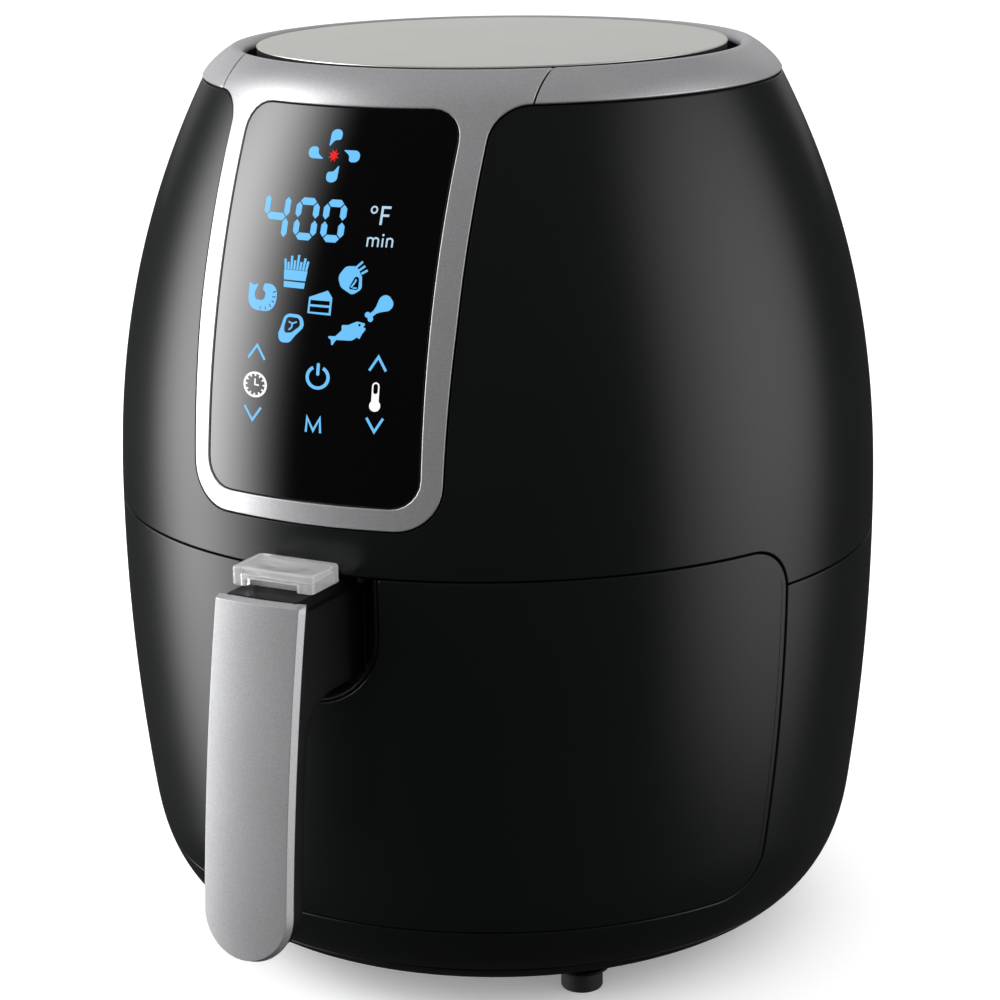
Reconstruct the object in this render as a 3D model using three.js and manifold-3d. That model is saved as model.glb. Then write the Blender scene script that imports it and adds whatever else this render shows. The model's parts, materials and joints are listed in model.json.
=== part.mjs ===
// Round drawer air fryer in millimetres: +Z up, front towards -Y, feet standing on z = 0.
// Inside the assembly group, z = 0 is the flat underside of the body and the body's axis is x = y = 0.
import * as THREE from "three";
import { mergeVertices } from "three/addons/utils/BufferGeometryUtils.js";
import Module from "manifold-3d";

const wasm = await Module();
wasm.setup();

// ---- Driving dimensions ----
const FOOT_HEIGHT = 8;
const BODY_RADIUS = 134; // at the waist, the widest level
const WAIST_Z = 146.5;
const RING_Z = 298; // the top ring starts here
const BODY_TOP = 309.2;
const RING_INNER_RADIUS = 85.5;
const RING_CREST_RADIUS = 87.1;
const COVER_RADIUS = 81.3;
const WALL = 2.5;
const SHEET = 1.2; // sheet metal
const GAP = 0.3; // between pieces that touch
const SEAM = 0.8; // open seam round the drawer front
const BASE_SEAM_Z = 10.5;
const SIDE_SEAM_Z = 138.5;
const DRAWER = { back: -40, bottom: 28.8, top: 152.2, corner: 15 };
const BEZEL = { halfWidth: 47, footHalfWidth: 45.5, bottom: 168.4, corner: 15, flare: 10, armX: 57.5 };
const LENS = { halfWidth: 38.9, bottom: 175.8, top: 296.8, corner: 9.5 };
const POCKET = { halfWidth: 25.2, arcZ: 133.5 };
const HANDLE = { halfWidth: 15.9, bottom: 34.6, top: 151, trim: 3.9, depth: 12 };
const GUARD = { halfWidth: 15, rear: -136.5, front: -154, bottom: 152, top: 158 };
const CHAMBER_Y = -8; // centre of the round chamber, pan and basket
const LINER_RADIUS = 107;
const PAN_RADIUS = 103;
const BASKET_RADIUS = 96.6;
const FOOT_XY = 63;
const MOTOR_Z = 214.3;
const SHAFT_RADIUS = 3;
const BODY_SEGMENTS = 32;
const CHAMBER_SEGMENTS = 28;
const NECK_BOTTOM = 117.5;
const FRONT_REACH = 185; // cutting prisms run this far out

// ---- Outer form: radius of the body at a height above its underside ----
function bodyRadius(z) {
  const above = Math.max(z - WAIST_Z, 0) / (RING_Z - WAIST_Z);
  const below = Math.max(WAIST_Z - z, 0);
  const base = THREE.MathUtils.clamp(1 - z / 45.5, 0, 1);
  const crown = THREE.MathUtils.clamp((z - RING_Z) / 11.9, 0, 1);
  const taper = 34.1 * above ** 2.3 + 6.6e-4 * below ** 2;
  const baseRound = 35.8 * (1 - (1 - base ** 2.5) ** 0.4);
  const crownRound = 10.2 * (1 - Math.sqrt(1 - crown ** 2));
  return BODY_RADIUS - taper - baseRound - crownRound;
}

// Front face of the handle: y at a height.
function handleFaceY(z) {
  const t = (z - 100) / 100;
  return -172.3 + 13.7 * t + 6.6 * t * t;
}

// ---- Helpers ----
const assembly = new THREE.Group();

function solid(geometry) {
  geometry.deleteAttribute("normal");
  geometry.deleteAttribute("uv");
  const merged = mergeVertices(geometry, 1e-4);
  const mesh = new wasm.Mesh({
    numProp: 3,
    vertProperties: merged.attributes.position.array,
    triVerts: new Uint32Array(merged.index.array),
  });
  return new wasm.Manifold(mesh);
}

function part(name, shape, material) {
  const mesh = shape.getMesh();
  const geometry = new THREE.BufferGeometry();
  geometry.setAttribute("position", new THREE.BufferAttribute(mesh.vertProperties, 3));
  geometry.setIndex(new THREE.BufferAttribute(mesh.triVerts, 1));
  geometry.computeVertexNormals();
  const node = new THREE.Mesh(geometry, material);
  node.name = name;
  assembly.add(node);
}

// Solid of revolution about +Z through (cx, cy), from [radius, z] points.
function turned(points, segments = 32, cx = 0, cy = 0) {
  const loop = points.map(([radius, z]) => new THREE.Vector2(radius, z));
  if (THREE.ShapeUtils.area(loop) < 0) loop.reverse();
  const first = loop.findIndex((p, i) => p.x === 0 && loop.at(i - 1).x === 0);
  const ordered = first < 0 ? [...loop, loop[0]] : [...loop.slice(first), ...loop.slice(0, first)];
  const geometry = new THREE.LatheGeometry(ordered, segments);
  return solid(geometry.rotateX(Math.PI / 2).translate(cx, cy, 0));
}

function cylinder(radius, z0, z1, segments = 32, cx = 0, cy = 0) {
  return turned([[0, z0], [radius, z0], [radius, z1], [0, z1]], segments, cx, cy);
}

function tube(outer, inner, z0, z1, segments = 32, cx = 0, cy = 0) {
  return turned([[inner, z0], [outer, z0], [outer, z1], [inner, z1]], segments, cx, cy);
}

// The same, turned so that its length runs along Y: z of the points becomes y.
function turnedAlongY(points, segments, cx, cz) {
  return turned(points, segments).rotate([-90, 0, 0]).translate([cx, 0, cz]);
}

function box(x0, x1, y0, y1, z0, z1) {
  const geometry = new THREE.BoxGeometry(x1 - x0, y1 - y0, z1 - z0);
  return solid(geometry.translate((x0 + x1) / 2, (y0 + y1) / 2, (z0 + z1) / 2));
}

const AXES = {
  x: new THREE.Matrix4().makeBasis(
    new THREE.Vector3(0, 1, 0), new THREE.Vector3(0, 0, 1), new THREE.Vector3(1, 0, 0)),
  y: new THREE.Matrix4().makeBasis(
    new THREE.Vector3(1, 0, 0), new THREE.Vector3(0, 0, 1), new THREE.Vector3(0, -1, 0)),
};

function extruded(shape, depth, curveSegments) {
  return new THREE.ExtrudeGeometry(shape, { depth, steps: 1, bevelEnabled: false, curveSegments });
}

// An outline in (x, z), extruded from y0 to y1.
function prismY(shape, y0, y1, curveSegments = 2) {
  return solid(extruded(shape, y1 - y0, curveSegments).applyMatrix4(AXES.y).translate(0, y1, 0));
}

// An outline in (y, z), extruded from x0 to x1.
function prismX(shape, x0, x1, curveSegments = 2) {
  return solid(extruded(shape, x1 - x0, curveSegments).applyMatrix4(AXES.x).translate(x0, 0, 0));
}

function rod(curve, radius, steps, sides) {
  const section = new THREE.Shape();
  section.absarc(0, 0, radius, 0, 2 * Math.PI);
  const options = { steps, extrudePath: curve, bevelEnabled: false, curveSegments: sides };
  return solid(new THREE.ExtrudeGeometry(section, options));
}

function union(first, ...rest) {
  return rest.reduce((sum, next) => sum.add(next), first);
}

function roundedRect(x0, x1, y0, y1, r) {
  const shape = new THREE.Shape();
  shape.absarc(x1 - r, y0 + r, r, -Math.PI / 2, 0);
  shape.absarc(x1 - r, y1 - r, r, 0, Math.PI / 2);
  shape.absarc(x0 + r, y1 - r, r, Math.PI / 2, Math.PI);
  shape.absarc(x0 + r, y0 + r, r, Math.PI, 1.5 * Math.PI);
  return shape;
}

const SURFACE_LEVELS = [
  0, 4, BASE_SEAM_Z, 18, 28.8, 48, 90, WAIST_Z, 185, 220, 250, 276, RING_Z, 302, 306, BODY_TOP,
];
const INNER_LEVELS = [0, 4, BASE_SEAM_Z, 24, 48, WAIST_Z, 210, 260, RING_Z, BODY_TOP];

// The whole body as a solid, its surface moved in by inset.
function bodySolid(inset, levels = SURFACE_LEVELS) {
  const side = levels.map((z) => [bodyRadius(z) - inset, z]);
  return turned([[0, 0], ...side, [0, BODY_TOP]], BODY_SEGMENTS);
}

const outerBody = bodySolid(0);
const innerBody = bodySolid(WALL, INNER_LEVELS);
const insideWalls = bodySolid(WALL + GAP, INNER_LEVELS);
const shell = outerBody.subtract(innerBody);

function slab(z0, z1) {
  return box(-150, 150, -150, 150, z0, z1);
}

// ---- Outlines ----
// The drawer front seen from the side, grown outwards all round.
function drawerBlock(grow, halfLength = 150) {
  const { back, bottom, top, corner } = DRAWER;
  const outline = roundedRect(-FRONT_REACH, back + grow, bottom - grow, top + grow, corner + grow);
  return prismX(outline, -halfLength, halfLength);
}

// The bezel seen from the front: a tall panel that flares into the top ring.
function bezelOutline(grow) {
  const { halfWidth, footHalfWidth, bottom, corner, flare, armX } = BEZEL;
  const side = halfWidth + grow;
  const foot = footHalfWidth + grow;
  const radius = corner + grow;
  const shape = new THREE.Shape();
  shape.absarc(foot - radius, bottom - grow + radius, radius, -Math.PI / 2, 0);
  shape.lineTo(side, 232);
  shape.absarc(side + flare - grow, RING_Z - flare, flare - grow, Math.PI, Math.PI / 2, true);
  shape.lineTo(armX + grow, RING_Z + 20);
  shape.lineTo(-armX - grow, RING_Z + 20);
  shape.lineTo(-armX - grow, RING_Z - grow);
  shape.absarc(-side - flare + grow, RING_Z - flare, flare - grow, Math.PI / 2, 0, true);
  shape.lineTo(-side, 232);
  shape.absarc(radius - foot, bottom - grow + radius, radius, Math.PI, 1.5 * Math.PI);
  return shape;
}

function bezelBlock(grow) {
  return prismY(bezelOutline(grow), -FRONT_REACH, -50);
}

function lensBlock(grow) {
  const { halfWidth, bottom, top, corner } = LENS;
  const side = halfWidth + grow;
  return prismY(
    roundedRect(-side, side, bottom - grow, top + grow, corner + grow), -FRONT_REACH, -50);
}

// U-shaped pocket outline, open at the top edge of the drawer front.
function pocketBlock(inset, y0, y1) {
  const radius = POCKET.halfWidth - inset;
  const shape = new THREE.Shape();
  shape.moveTo(radius, DRAWER.top + 20);
  shape.lineTo(-radius, DRAWER.top + 20);
  shape.absarc(0, POCKET.arcZ, radius, Math.PI, 2 * Math.PI);
  return prismY(shape, y0, y1, 5);
}

// ---- Materials ----
function material(color, roughness, metalness = 0) {
  return new THREE.MeshStandardMaterial({ color, roughness, metalness });
}

const blackShell = material(0x101211, 0.35);
const blackPlastic = material(0x0c0c0d, 0.5);
const silverPaint = material(0x9a9b9d, 0.4, 0.6);
const brushedCover = material(0xb9b9b4, 0.35, 0.7);
const lensGlass = material(0x020203, 0.08);
const clearGuard = material(0xdadcdc, 0.15);
const rubber = material(0x151515, 0.8);
const innerPlastic = material(0x2a2a2c, 0.6);
const whitePlastic = material(0xe6e6e2, 0.5);
const sheetSteel = material(0xa8a8a6, 0.35, 0.9);
const nonStick = material(0x232326, 0.45, 0.3);
const elementSteel = material(0x5a5550, 0.4, 0.9);
const boardGreen = material(0x1f5a36, 0.5);
const brightSteel = material(0xb8b8bc, 0.25, 1);

// ---- Outer housing ----
function atFeet(make) {
  for (const [side, sx] of [["left", -1], ["right", 1]]) {
    make(`front_${side}`, sx * FOOT_XY, -FOOT_XY);
    make(`rear_${side}`, sx * FOOT_XY, FOOT_XY);
  }
}

function addHousing() {
  const rearVent = prismY(roundedRect(-45, 45, 158, 192, 6), 60, 150);
  const inletHole = turnedAlongY([[0, 80], [9, 80], [9, 150], [0, 150]], 16, 0, 42);

  const flange = bodySolid(1).intersect(slab(295.5, RING_Z)).subtract(cylinder(84, 290, 300, BODY_SEGMENTS));
  const upper = shell
    .intersect(slab(SIDE_SEAM_Z + GAP, RING_Z))
    .add(flange)
    .subtract(drawerBlock(SEAM))
    .subtract(bezelBlock(GAP))
    .subtract(rearVent);
  part("upper_housing", upper, blackShell);

  let lower = shell.intersect(slab(BASE_SEAM_Z + GAP, SIDE_SEAM_Z));
  let base = outerBody
    .intersect(slab(0, BASE_SEAM_Z))
    .subtract(bodySolid(WALL).intersect(slab(WALL, 20)));
  atFeet((where, x, y) => {
    const web = box(87, 118, -1.5, 1.5, 12, 24).rotate([0, 0, (Math.atan2(y, x) * 180) / Math.PI]);
    const boss = cylinder(5, 12, 24, 12, x, y).add(web.intersect(bodySolid(1)));
    lower = lower.add(boss).subtract(cylinder(2, 11, 30, 8, x, y));
    base = base.add(cylinder(9.5, -0.6, 6, 16, x, y)).subtract(cylinder(2, -2, 11, 8, x, y));
  });
  part("lower_housing", lower.subtract(drawerBlock(SEAM)).subtract(inletHole), blackShell);
  part("base_cover", base, blackPlastic);

  const foot = turned([[2, -0.9], [7.2, -0.9], [7.2, -8], [4, -8], [4, -3.5], [2, -3.5]], 12);
  const screw = turned([[0, -5.8], [3.5, -5.8], [3.5, -3.8], [1.7, -3.8], [1.7, 16], [0, 16]], 8);
  atFeet((where, x, y) => {
    part(`foot_${where}`, foot.translate([x, y, 0]), rubber);
    part(`foot_screw_${where}`, screw.translate([x, y, 0]), brightSteel);
  });

  const slats = [];
  for (let z = 163; z < 190; z += 5) slats.push(box(-40, 40, 60, 150, z, z + 2.4));
  const ventBody = shell.intersect(prismY(roundedRect(-44.7, 44.7, 158.3, 191.7, 5.7), 60, 150));
  part("rear_vent_grille", slats.reduce((sum, slat) => sum.subtract(slat), ventBody), blackPlastic);

  const inlet = turnedAlongY(
    [[4, 118.5], [8.7, 118.5], [8.7, 129.2], [12.5, 129.2], [12.5, 131.4], [11.5, 132.4], [4, 132.4]],
    12, 0, 42);
  part("cord_inlet", inlet, blackPlastic);
}

// ---- Top ring, bezel, lens and cover ----
function addTopAndDisplay() {
  const crestChamfer = turned([[0, 300], [RING_INNER_RADIUS, 300], [RING_INNER_RADIUS, 307.6],
    [RING_CREST_RADIUS, BODY_TOP], [RING_CREST_RADIUS, 320], [0, 320]], BODY_SEGMENTS);
  const ringBore = cylinder(RING_INNER_RADIUS, 290, 320, BODY_SEGMENTS);
  const ring = outerBody
    .intersect(slab(RING_Z + GAP, BODY_TOP + 1))
    .subtract(ringBore)
    .subtract(crestChamfer);
  const frontArm = box(-BEZEL.armX, BEZEL.armX, -150, 0, 290, 320);
  const bezelPanel = bodySolid(-0.5)
    .subtract(bodySolid(3))
    .intersect(bezelBlock(0))
    .intersect(slab(160, RING_Z + 2));
  const bezel = ring.intersect(frontArm).add(bezelPanel).subtract(lensBlock(GAP));
  part("front_bezel", bezel, silverPaint);

  const armGap = box(-BEZEL.armX - GAP, BEZEL.armX + GAP, -150, 0, 290, 320);
  part("rear_top_ring", ring.subtract(armGap), silverPaint);

  part("display_lens", bodySolid(-0.3).subtract(bodySolid(2.2)).intersect(lensBlock(0)), lensGlass);
  const guideBlock = prismY(roundedRect(-34, 34, 182, 288, 4), -FRONT_REACH, -50);
  const guide = bodySolid(3.4).subtract(bodySolid(5.4)).intersect(guideBlock);
  part("light_guide", guide, whitePlastic);

  const board = box(-33, 33, -0.8, 0.8, -50, 50).add(box(-20, 20, 0.7, 5, -34, -14));
  part("control_board", board.rotate([-14, 0, 0]).translate([0, -102.5, 236]), boardGreen);

  const cover = turned([[0, 295.5], [12, 295.5], [12, 304], [79, 303.6], [79, 301.5],
    [COVER_RADIUS, 301.5], [COVER_RADIUS, 306], [79.5, 307.4], [50, 308.5], [0, 308.9]], BODY_SEGMENTS);
  part("top_cover", cover, brushedCover);

  let carrier = cylinder(88, 292.6, 295.2, 32);
  const slot = box(54, 82, -2.2, 2.2, 290, 297);
  for (let i = 0; i < 16; i += 1) carrier = carrier.subtract(slot.rotate([0, 0, 22.5 * i + 11]));
  part("top_carrier", carrier, innerPlastic);
}

// ---- Chamber: front frame, liner, dome, heater and its guard ----
function addChamber() {
  const mouth = prismY(roundedRect(-105.5, 105.5, 33, 148, 5), -150, 0);
  const plate = insideWalls
    .intersect(box(-150, 150, -38.9, -36.4, 25.2, 155.8))
    .subtract(mouth);
  const plungerHole = box(115.1, 117.9, -45, -30, 124.6, 127.4);
  const sill = insideWalls.intersect(box(-150, 150, -150, -36.4, 25.2, 27.7));
  const ceiling = insideWalls
    .intersect(box(-150, 150, -150, -36.4, 153.3, 155.8))
    .subtract(cylinder(108.5, 150, 160, CHAMBER_SEGMENTS, 0, CHAMBER_Y));
  part("front_frame", union(plate, sill, ceiling).subtract(plungerHole), innerPlastic);

  const trough = (radius, z0, z1) => union(
    cylinder(radius, z0, z1, CHAMBER_SEGMENTS, 0, CHAMBER_Y),
    box(-radius, radius, -36.1, CHAMBER_Y, z0, z1),
  ).intersect(box(-150, 150, -36.1, 150, z0, z1));
  const liner = trough(LINER_RADIUS + SHEET, 29.5, 155.8)
    .subtract(trough(LINER_RADIUS, 29.5 + SHEET, 160).add(box(-107, 107, -50, -36, 30.7, 160)));
  part("chamber_liner", liner, sheetSteel);

  const domeOuter = [[112, 156.1], [112, 157.3], [104.5, 157.3], [93, 190], [0, 190]];
  const domeInner = [[0, 188.8], [92.1, 188.8], [103.3, 156.1]];
  const elementLegs = [[-70, CHAMBER_Y], [86, CHAMBER_Y]];
  let dome = turned([...domeInner, ...domeOuter], CHAMBER_SEGMENTS, 0, CHAMBER_Y)
    .subtract(box(-36, 36, 60, 110, 166, 184))
    .subtract(cylinder(5, 180, 200, 20, 0, CHAMBER_Y))
    .subtract(cylinder(2.6, 180, 200, 12, 40, 62));
  for (const [x, y] of elementLegs) dome = dome.subtract(cylinder(4.2, 170, 200, 12, x, y));
  part("chamber_dome", dome, sheetSteel);

  const coilPoints = [new THREE.Vector3(-70, 0, 203), new THREE.Vector3(-70, 0, 182)];
  const turns = 1.5;
  const stations = 22;
  for (let i = 0; i <= stations; i += 1) {
    const angle = Math.PI + (i / stations) * turns * 2 * Math.PI;
    const radius = 70 + (16 * i) / stations;
    coilPoints.push(new THREE.Vector3(radius * Math.cos(angle), radius * Math.sin(angle), 167));
  }
  coilPoints.push(new THREE.Vector3(86, 0, 182), new THREE.Vector3(86, 0, 203));
  const coil = rod(new THREE.CatmullRomCurve3(coilPoints, false, "centripetal"), 3.2, 38, 3);
  part("heating_element", coil.translate([0, CHAMBER_Y, 0]), elementSteel);

  const rings = [42, 90].map((radius) => tube(radius + 1.3, radius - 1.3, 158.6, 160.6, 12, 0, CHAMBER_Y));
  const spokes = [0, 60, 120].map((turn) => box(-101, 101, -1.3, 1.3, 158.6, 160.6)
    .rotate([0, 0, turn]).translate([0, CHAMBER_Y, 0]));
  part("heater_guard", union(...rings, ...spokes), brightSteel);

  for (const [side, sx] of [["left", -1], ["right", 1]]) {
    part(`drawer_rail_${side}`, box(-3, 3, -35, 62, 31, 33.4).translate([sx * 62, 0, 0]), brightSteel);
  }
  const switchBody = box(112, 121, -35.8, -17, 118, 134).add(box(115.4, 117.6, -39.4, -34, 124.9, 127.1));
  part("interlock_switch", switchBody, whitePlastic);
}

// ---- Motor, fans and what is above the chamber ----
function fan(hubRadius, tipRadius, z0, z1, blades, twist) {
  let rotor = cylinder(hubRadius, z0, z0 + 1.6, 20).add(cylinder(8, z0, z1, 12));
  for (let i = 0; i < blades; i += 1) {
    const blade = box(6, tipRadius, -0.7, 0.7, 0, z1 - z0)
      .rotate([twist, 0, 0])
      .translate([0, 0, z0])
      .rotate([0, 0, (360 * i) / blades]);
    rotor = rotor.add(blade.intersect(slab(z0, z1)));
  }
  return rotor.subtract(cylinder(SHAFT_RADIUS + GAP, z0 - 5, z1 + 5, 16)).translate([0, CHAMBER_Y, 0]);
}

function addPowerUnit() {
  part("convection_fan", fan(34, 62, 172, 184, 8, 0), sheetSteel);
  part("cooling_fan", fan(18, 58, 195, 205, 7, -38), innerPlastic);
  part("motor_shaft", cylinder(SHAFT_RADIUS, 166, 244, 16, 0, CHAMBER_Y), brightSteel);
  const nut = cylinder(6, 166.6, 171.7, 6, 0, CHAMBER_Y)
    .subtract(cylinder(SHAFT_RADIUS + GAP, 160, 180, 16, 0, CHAMBER_Y));
  part("fan_nut", nut, brightSteel);

  const bridge = union(
    box(-82, 82, -14, 14, 212, 214),
    box(-82, -80, -14, 14, 190.3, 213),
    box(80, 82, -14, 14, 190.3, 213),
  ).subtract(cylinder(7.5, 205, 220, 20));
  part("motor_bracket", bridge.translate([0, CHAMBER_Y, 0]), sheetSteel);
  const bearing = turned(
    [[3.3, 208.6], [10, 208.6], [10, 211.7], [7.2, 211.7], [7.2, 214], [3.3, 214]], 16);
  part("shaft_bearing", bearing.translate([0, CHAMBER_Y, 0]), brightSteel);
  const motor = turned([[3.6, MOTOR_Z], [27, MOTOR_Z], [27, 240], [12, 240], [12, 247], [3.6, 247]], 20)
    .add(box(-34, 34, -9, 9, MOTOR_Z, 232).subtract(cylinder(10, 210, 240, 12)));
  part("fan_motor", motor.translate([0, CHAMBER_Y, 0]), elementSteel);

  const probe = union(cylinder(2.2, 178, 196, 12, 40, 62), cylinder(5, 190.3, 193, 12, 40, 62));
  part("temperature_sensor", probe, brightSteel);
  part("thermal_fuse", box(-58, -38, 40, 48, 190.3, 196), whitePlastic);
  const powerBoard = union(
    box(-97, -95.4, -40, 32, 200, 250),
    box(-95.6, -80, -32, -10, 216, 244),
    box(-95.6, -84, 0, 22, 220, 246),
  );
  part("power_board", powerBoard, boardGreen);

  const ductOuter = box(-38, 38, 70, 150, 163, 187);
  const ductInner = box(-36.8, 36.8, 60, 160, 164.2, 185.8);
  const domeClear = turned([[0, 150], [104.9, 157], [93.4, 190.4], [0, 190.4]], CHAMBER_SEGMENTS, 0, CHAMBER_Y);
  const duct = ductOuter.subtract(ductInner).subtract(domeClear).intersect(insideWalls);
  part("exhaust_duct", duct, sheetSteel);

  const leadPoints = [[0, 114.5, 42], [-14, 114, 56], [-40, 109, 90], [-62, 98, 130], [-76, 86, 180],
    [-86, 62, 215], [-94, 40, 226]];
  const lead = new THREE.CatmullRomCurve3(leadPoints.map((p) => new THREE.Vector3(...p)));
  part("mains_lead", rod(lead, 2.8, 24, 2), rubber);
}

// ---- Drawer: front, pan, basket ----
function bowl(outerRadius, z0, z1, thickness, lip) {
  const bottom = outerRadius - 4;
  return turned([
    [0, z0], [bottom - 6, z0], [bottom, z0 + 6], [outerRadius, z1 - 2], [outerRadius + lip, z1 - 2],
    [outerRadius + lip, z1], [outerRadius - thickness, z1],
    [bottom - thickness, z0 + 6.5], [bottom - 6.5, z0 + thickness], [0, z0 + thickness],
  ], CHAMBER_SEGMENTS, 0, CHAMBER_Y);
}

const screwHole = turnedAlongY([[0, -132], [2, -132], [2, -118], [0, -118]], 10, 0, 140);

function addDrawer() {
  const panRoom = cylinder(106.6, DRAWER.bottom + 2.8, 160, CHAMBER_SEGMENTS, 0, CHAMBER_Y);
  const hollow = bodySolid(3).intersect(
    box(-150, 150, -150, DRAWER.back - WALL, DRAWER.bottom + 2.8, DRAWER.top - 2.8));
  let front = outerBody
    .intersect(drawerBlock(0))
    .subtract(hollow)
    .subtract(panRoom)
    .subtract(pocketBlock(0, -150, -100));
  for (const x of [-40, 40]) front = front.subtract(cylinder(4, 20, 40, 14, x, -80));
  part("drawer_front", front, blackShell);

  const panel = tube(106.3, 105.1, 32, 149, CHAMBER_SEGMENTS, 0, CHAMBER_Y)
    .intersect(box(-150, 150, -150, -43, 20, 160))
    .subtract(box(-26, 26, -150, -90, 112, 160));
  part("drawer_inner_panel", panel, sheetSteel);

  const cup = outerBody
    .intersect(pocketBlock(GAP, -140, -116.5))
    .intersect(slab(100, DRAWER.top))
    .subtract(pocketBlock(GAP + 2, -150, -118.7))
    .subtract(box(-15.5, 15.5, -125, -110, 129, 160))
    .subtract(box(-3.6, 3.6, -125, -110, 121.4, 126));
  part("handle_escutcheon", cup, blackPlastic);

  part("pan", bowl(PAN_RADIUS, 34, 146, 1.5, 1.2), nonStick);
  const panScrew = turned([[0, 29.2], [3.6, 29.2], [3.6, 31.2], [1.7, 31.2], [1.7, 33.7], [0, 33.7]], 8);
  for (const [side, x] of [["left", -40], ["right", 40]]) {
    part(`pan_screw_${side}`, panScrew.translate([x, -80, 0]), brightSteel);
  }

  let basket = bowl(BASKET_RADIUS, 44, 146.6, 1.2, 0.8);
  const hole = cylinder(5.2, 40, 50, 6);
  const pitch = 34;
  for (let row = -2; row <= 2; row += 1) {
    for (let column = -3; column <= 3; column += 1) {
      const x = (column + (row % 2) / 2) * pitch;
      const y = row * pitch * Math.sin(Math.PI / 3);
      if (Math.hypot(x, y) < 82) basket = basket.subtract(hole.translate([x, y + CHAMBER_Y, 0]));
    }
  }
  for (const [x, y] of [[-37, 24], [0, -48], [37, 24]]) {
    basket = basket.add(cylinder(3.2, 36, 45, 8, x, y + CHAMBER_Y));
  }
  part("basket", basket, nonStick);

  const bracket = union(
    box(-14, 14, -122, -105.9, 147.2, 148.7),
    box(-14, 14, -122, -120.5, 118.4, 148.7),
    box(-13, 13, -107.1, -105.9, 128, 148.7),
  )
    .subtract(box(-4.6, 4.6, -125, -118, 120.5, 130))
    .subtract(screwHole.translate([-9, 0, 0]))
    .subtract(screwHole.translate([9, 0, 0]));
  part("basket_bracket", bracket, sheetSteel);
}

// ---- Handle, release button and latch ----
// Side view of a layer of the handle that lies between two depths behind its face.
function handleSide(front, back, bottom, top) {
  const levels = Array.from({ length: 8 }, (_, i) => top + ((bottom - top) * i) / 7);
  const face = levels.map((z) => new THREE.Vector2(handleFaceY(z) + front, z));
  const rear = levels.toReversed().map((z) => new THREE.Vector2(handleFaceY(z) + back, z));
  return new THREE.Shape([...face, ...rear]);
}

function handleOutline(halfWidth, bottom, top) {
  const shape = new THREE.Shape();
  shape.moveTo(halfWidth, top);
  shape.lineTo(-halfWidth, top);
  shape.absarc(0, bottom + halfWidth, halfWidth, Math.PI, 2 * Math.PI);
  return shape;
}

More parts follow.
